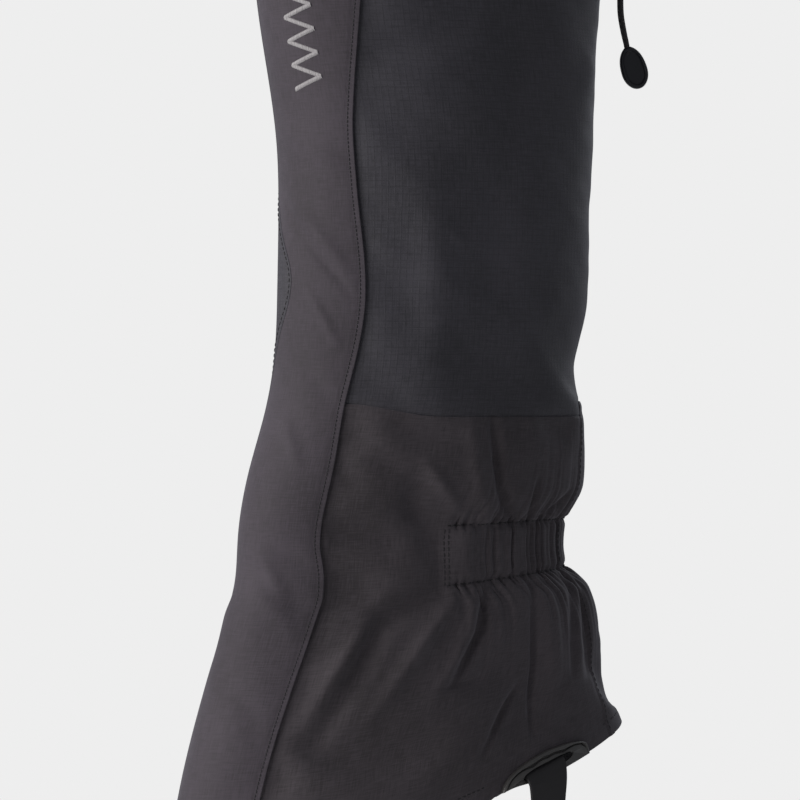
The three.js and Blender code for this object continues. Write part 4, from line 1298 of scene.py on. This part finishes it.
def patch_point(side, x, y, offset):
    """A point of a strap patch: x along the hem from the slot's middle, y up, offset outwards."""
    h0, t0 = np.array(SLOT_HEIGHT), np.array(side * math.radians(SLOT_ANGLE))
    along, up = tangents(h0, t0)
    per_radian = np.linalg.norm(along) / 0.02
    per_height = np.linalg.norm(up) / 2
    t = t0 + x / per_radian
    return sleeve(np.maximum(SLOT_HEIGHT + y / per_height, hem_line(t) - 0.2), t, offset)


PATCH_SIZE = {"half_length": 29.8, "foot": -5.3, "crown": 7.1, "fall": 1.6}
# How far in from the rim, and how high, each loop of the bead, groove and panel is: above the slot
# and below it.
RIM_ABOVE = [
    (0.0, 1.2), (0.05, 2.1), (0.35, 2.9), (0.9, 3.35), (1.5, 3.4), (2.0, 3.1),
    (2.3, 2.2), (2.6, 1.45), (3.0, 1.45), (3.25, 2.1), (3.55, 2.6), (4.1, 2.75),
]
RIM_BELOW = [(0.0, 1.2), (0.05, 1.8), (0.3, 2.2), (0.7, 2.35)] + [
    (inset, 2.4) for inset in (1.0, 1.2, 1.4, 1.6, 1.7, 1.8, 1.9, 2.0)
]


def patch_rim(angles, side):
    """A half oval, flat along the hem, that is fuller and lower towards the toe."""
    foot = PATCH_SIZE["foot"]
    forward = np.cos(angles) * side
    crown = PATCH_SIZE["crown"] - PATCH_SIZE["fall"] * np.maximum(forward, 0)
    power = np.where(forward > 0, 0.42, 0.64)
    rising = (crown - foot) * np.clip(np.sin(angles), 0, 1) ** power
    return np.stack([np.cos(angles) * PATCH_SIZE["half_length"], foot + rising], -1)


def patch_opening(angles):
    """The strap's slot: long, with blunt ends."""
    half_length, half_height = 17.0, 2.3
    x, y = np.cos(angles), np.sin(angles)
    blunt = np.minimum(1, 1.6 * np.sqrt(np.abs(y)))
    return np.stack([np.sign(x) * np.sqrt(np.abs(x)) * half_length, half_height * y * blunt], -1)


def make_patch(side, name, node):
    """A moulded half oval: a beaded rim, a groove, and a panel whose slot lets the strap through."""
    around, back = 120, 1.05
    angles = np.linspace(-math.pi, math.pi, around, endpoint=False)
    outline, opening = patch_rim(angles, side), patch_opening(angles)
    gap = opening - outline
    room = np.linalg.norm(gap, axis=1, keepdims=True)
    above = smooth(-0.05, 0.25, np.sin(angles))
    loops = []
    for (inset, high), (low_inset, low) in zip(RIM_ABOVE, RIM_BELOW):
        reach = np.minimum(inset * above + low_inset * (1 - above), room[:, 0] * 0.8)
        flat = outline + gap / room * reach[:, None]
        loops.append(patch_point(side, *flat.T, high * above + low * (1 - above)))
    lip = 3.1 * above + 2.3 * (1 - above)
    for share, drop in ((0.35, 0.25), (0.12, 0.1), (0.03, 0.15), (0.0, 0.7)):
        flat = opening - gap / room * (share * np.maximum(room - 4.2, 0.4))
        loops.append(patch_point(side, *flat.T, lip - drop))
    loops.append(patch_point(side, *opening.T, np.full(around, back + 0.1)))
    loops.append(patch_point(side, *outline.T, np.full(around, back)))
    finished(lofted(name, loops, closed=True), "sleeve", "moulded_rubber", node)


SLOT = frame_on(SLOT_HEIGHT, math.radians(SLOT_ANGLE))
SLOT_Z = float(SLOT[2, 3])
SLOT_SLOPE = float(SLOT[2, 0] / math.hypot(SLOT[0, 0], SLOT[1, 0]))
STRAP_X, TAIL_X, STRAP_W, STRAP_THICK, STRAP_CORNER = 49.6, 52.8, 20.2, 1.8, 14.0


def strap_across(side, z):
    """The width direction: along the sleeve at the slot, straight fore and aft lower down."""
    turn = smooth(30, 52, z)
    rise = smooth(60, SLOT_Z - 1, z) * SLOT_SLOPE
    level = unit(np.array([-side * SLOT[1, 2] * turn, SLOT[0, 2] + 0 * turn, 0]))
    return level + np.array([0, 0, rise])


def flat_band(name, path, across, widths, thick, pattern=None, columns=17):
    """A flat strap along a path. across gives its width direction at each point of the path."""
    path = np.asarray(path, float)
    ahead = np.gradient(path, axis=0)
    out = unit(np.cross(across, ahead))
    x = np.sin(np.linspace(-math.pi / 2, math.pi / 2, columns))[None, :, None]
    spread = path[:, None] + across[:, None] * x * (widths[:, None, None] / 2)
    run = np.concatenate([[0], np.linalg.norm(np.diff(path, axis=0), axis=1).cumsum()])
    uv = np.stack(np.broadcast_arrays(x[..., 0] * 10, run[:, None]), -1)
    soft = (1 - 0.25 * np.abs(x) ** 6) * thick / 2
    raised = soft + (pattern(uv[..., 0], uv[..., 1])[..., None] if pattern else 0)
    return shell(name, spread + out[:, None] * raised, spread - out[:, None] * soft, uv)


def diamonds(u, v):
    """A plain row of raised diamonds down the strap's face."""
    pitch, wide, high = 15.0, 5.0, 5.5
    nearest = np.abs((v % pitch) - pitch / 2)
    inside = 1 - np.abs(u) / wide - nearest / high
    return 0.28 * (smooth(-0.02, 0.16, inside) - 0.8 * smooth(0.3, 0.48, inside))


def slot_to_leg(side, leg_x):
    """From behind the sleeve, out through the slot's lower half and down: (x, z) pairs."""
    return [(side * x, z) for x, z in (
        (41.9, SLOT_Z + 7), (42.3, SLOT_Z + 3.6), (44.2, SLOT_Z + 1.3), (46.5, SLOT_Z - 0.9),
        (48.4, SLOT_Z - 3.0), (leg_x - 0.15, SLOT_Z - 6.5), (leg_x, 62), (leg_x, 54),
    )]


def anchor_bar(name, side, length, depth):
    """The bar that holds a strap's end behind its slot."""
    place = frame_on(SLOT_HEIGHT + 5.0, side * math.radians(SLOT_ANGLE), -depth)
    finished(flat_bar(name, place, length, 7, 1.6), "sleeve", "black_plastic")


def strap_blend(piece):
    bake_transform(piece)


def make_strap():
    low = STRAP_THICK / 2
    corner = [(STRAP_X - STRAP_CORNER * (1 - math.cos(a)), low + STRAP_CORNER * (1 - math.sin(a)))
              for a in np.linspace(0, math.pi / 2, 7)]
    down = slot_to_leg(1, STRAP_X) + [(STRAP_X, 44), (STRAP_X, 34), (STRAP_X, 24)] + corner
    inner = STRAP_X + 0.3
    up = [(-x, z) for x, z in corner[::-1]] + [(-inner, 22), (-inner, 33)]
    up += [(-(inner + TAIL_X) / 2, 36.5), (-TAIL_X, 40), (-TAIL_X, 48), (-TAIL_X, 56)]
    course = curve_through([[x, 0, z] for x, z in down + up], 1.2)
    across = np.array([strap_across(1, z) if x > 0 else [0, 1, 0] for x, _, z in course])
    outer_leg = course[:, 0] > 0
    wide = np.where(outer_leg, STRAP_W + 3.6 * smooth(50, SLOT_Z, course[:, 2]), STRAP_W - 1.5)
    course[:, 1] -= np.where(outer_leg, 2.0 * smooth(12, 50, course[:, 2]), 0)
    piece = flat_band("instep_band", course, across, wide, STRAP_THICK, diamonds, 33)
    finished(piece, None, "coated_strap", "instep_strap")
    strap_blend(piece)
    anchor_bar("strap_anchor_bar", 1, 28, 3.6)


def flat_bar(name, place, length, height, thick):
    """A small flat bar with round ends and softened edges."""
    edge = [(1.2, 1.0), (0.5, 1.0), (0.15, 0.8), (0, 0.4)]  # inset, and share of half the thickness
    loops = []
    for inset, share in edge + [(inset, -share) for inset, share in edge[::-1]]:
        ring = stadium(length - 2 * inset, height - 2 * inset, 40)
        loops.append(moved(place, np.insert(ring, 2, share * thick / 2, 1)))
    return lofted(name, loops)


def make_webbing():
    """Folded webbing from the inner slot, round the buckle's top bar, and back up behind itself."""
    bar_x, bar_top, reach = 48.25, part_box("buckle_frame")[1].z / MM, 1.75
    leg_x = STRAP_X + 0.6
    back_x = leg_x - 1.5
    down = [(-leg_x, 50), (-(bar_x + reach), bar_top + 0.5), (-(bar_x + reach), bar_top - 2.2)]
    turn = [(-(bar_x + reach * math.cos(a)), bar_top - 2.3 - reach * math.sin(a)) for a in (0.8, 1.57, 2.3)]
    back = [(-(bar_x - reach), bar_top - 1.5), (-(bar_x - 1.5), bar_top + 3), (-(bar_x + 0.2), 53),
            (-back_x, 58), (-back_x, 65)]
    course = curve_through([[x, 0, z] for x, z in slot_to_leg(-1, leg_x) + down + turn + back], 0.8)
    returned = int(np.argmin(course[:, 2]))
    across = [strap_across(-1, max(p[2], 56)) for p in course[:returned]]
    across = np.array(across + [[0, 1, 0]] * (len(course) - returned))
    piece = flat_band("buckle_webbing_fold", course, across, np.full(len(course), 19.0), 1.2)
    finished(piece, None, "binding_tape", "buckle_webbing")
    strap_blend(piece)
    anchor_bar("webbing_anchor_bar", -1, 26, 3.4)


# ---------------------------------------------------------------- CAD pieces that are kept

KEPT = {
    "buckle_frame": ("bare_metal", 0.35),
    "buckle_pin": ("bare_metal", 0.3),
    "buckle_cam": ("bare_metal", 0.4),
    "strap_keeper": ("moulded_rubber", 0.35),
    "lace_hook": ("dark_metal", 0.25),
    "lace_hook_rivet": ("bare_metal", 0.15),
    "lock_spring": ("bare_metal", 0.08),
}


def finish_kept():
    """Gives the CAD's own hard pieces soft edges, smooth shading and their materials."""
    for name, (slot, bevel) in KEPT.items():
        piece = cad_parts[name]
        piece.data.materials.clear()
        piece.data.materials.append(FINISHES[slot])
        soft = piece.modifiers.new("edges", "BEVEL")
        soft.width, soft.segments, soft.limit_method = bevel * MM, 3, "ANGLE"
        soft.angle_limit = math.radians(38)
        soft.harden_normals = True
        piece.data.polygons.foreach_set("use_smooth", [True] * len(piece.data.polygons))


# ---------------------------------------------------------------- stage

def make_stage():
    """A pale floor, a soft key light from the toe side and a pale surround."""
    around, radius, centre = 96, 560.0, -45
    angles = np.linspace(0, 2 * math.pi, around, endpoint=False)
    ring = np.stack([np.cos(angles), np.sin(angles), np.zeros(around)], -1) * radius
    rounding = ((0.999, -4.0), (1, -2.5), (1, -1.0), (0.998, -0.05))
    floor = lofted("floor", [ring * share + np.array([0, centre, z]) for share, z in rounding])
    pale = Finish("pale_floor", 0.85)
    grain = pale.noise(pale.place, 30.0, 4.0)
    pale.set("Base Color", pale.tone(grain, (0.8, 0.8, 0.8), (0.84, 0.84, 0.84)))
    floor.data.materials.append(pale.material)

    world = bpy.data.worlds.new("surround")
    bpy.context.scene.world = world
    world.use_nodes = True
    tree = world.node_tree
    plain = tree.nodes["Background"]
    plain.inputs["Color"].default_value = (0.92, 0.95, 1.0, 1)
    plain.inputs["Strength"].default_value = 0.23
    seen = tree.nodes.new("ShaderNodeBackground")
    seen.inputs["Color"].default_value = (0.855, 0.855, 0.855, 1)
    seen.inputs["Strength"].default_value = 1.0
    ray = tree.nodes.new("ShaderNodeLightPath")
    mix = tree.nodes.new("ShaderNodeMixShader")
    tree.links.new(ray.outputs["Is Camera Ray"], mix.inputs[0])
    tree.links.new(plain.outputs[0], mix.inputs[1])
    tree.links.new(seen.outputs[0], mix.inputs[2])
    tree.links.new(mix.outputs[0], tree.nodes["World Output"].inputs["Surface"])

    middle = Vector((0, -0.05, 0.25))
    lights = (
        ("key", (-0.25, -1.5, 0.75), 0.8, 17.0, (1.0, 0.985, 0.96)),
        ("graze", (0.42, -1.5, 0.35), 0.5, 5.5, (1.0, 0.99, 0.98)),
        ("back", (-0.8, 1.2, 0.9), 0.9, 4.5, (0.9, 0.94, 1.0)),
    )
    for name, place, size, power, tint in lights:
        light = bpy.data.lights.new(name, "AREA")
        light.shape, light.size, light.energy, light.color = "SQUARE", size, power, tint
        lamp = bpy.data.objects.new(name, light)
        lamp.location = place
        lamp.rotation_mode = "QUATERNION"
        lamp.rotation_quaternion = (middle - lamp.location).to_track_quat("-Z", "Y")
        bpy.context.scene.collection.objects.link(lamp)


def make_camera():
    """Level, from the front of the outer side, close enough to crop the rim and the strap."""
    azimuth, distance, seen = math.radians(60), 2.5, 0.38
    target = Vector((-0.0071, -0.0498, 0.2438))
    back = Vector((math.sin(azimuth), -math.cos(azimuth), 0))
    camera = bpy.data.cameras.new("camera")
    camera.sensor_width = 36
    camera.lens = camera.sensor_width * distance / seen
    eye = bpy.data.objects.new("camera", camera)
    eye.location = target + back * distance
    eye.rotation_mode = "QUATERNION"
    eye.rotation_quaternion = (-back).to_track_quat("-Z", "Y")
    bpy.context.scene.collection.objects.link(eye)
    bpy.context.scene.camera = eye
    bpy.context.scene.view_settings.view_transform = "Standard"


make_panels()
make_seams()
make_linings()
make_slot_shade_sheets()
make_top_hem()
make_cords()
make_eyelets()
make_lock()
make_pull()
make_flap()
make_snaps()
make_embroidery()
make_patch(1, "outer_patch_mould", "outer_strap_patch")
make_patch(-1, "inner_patch_mould", "inner_strap_patch")
make_strap()
make_webbing()
finish_kept()
make_stage()
make_camera()
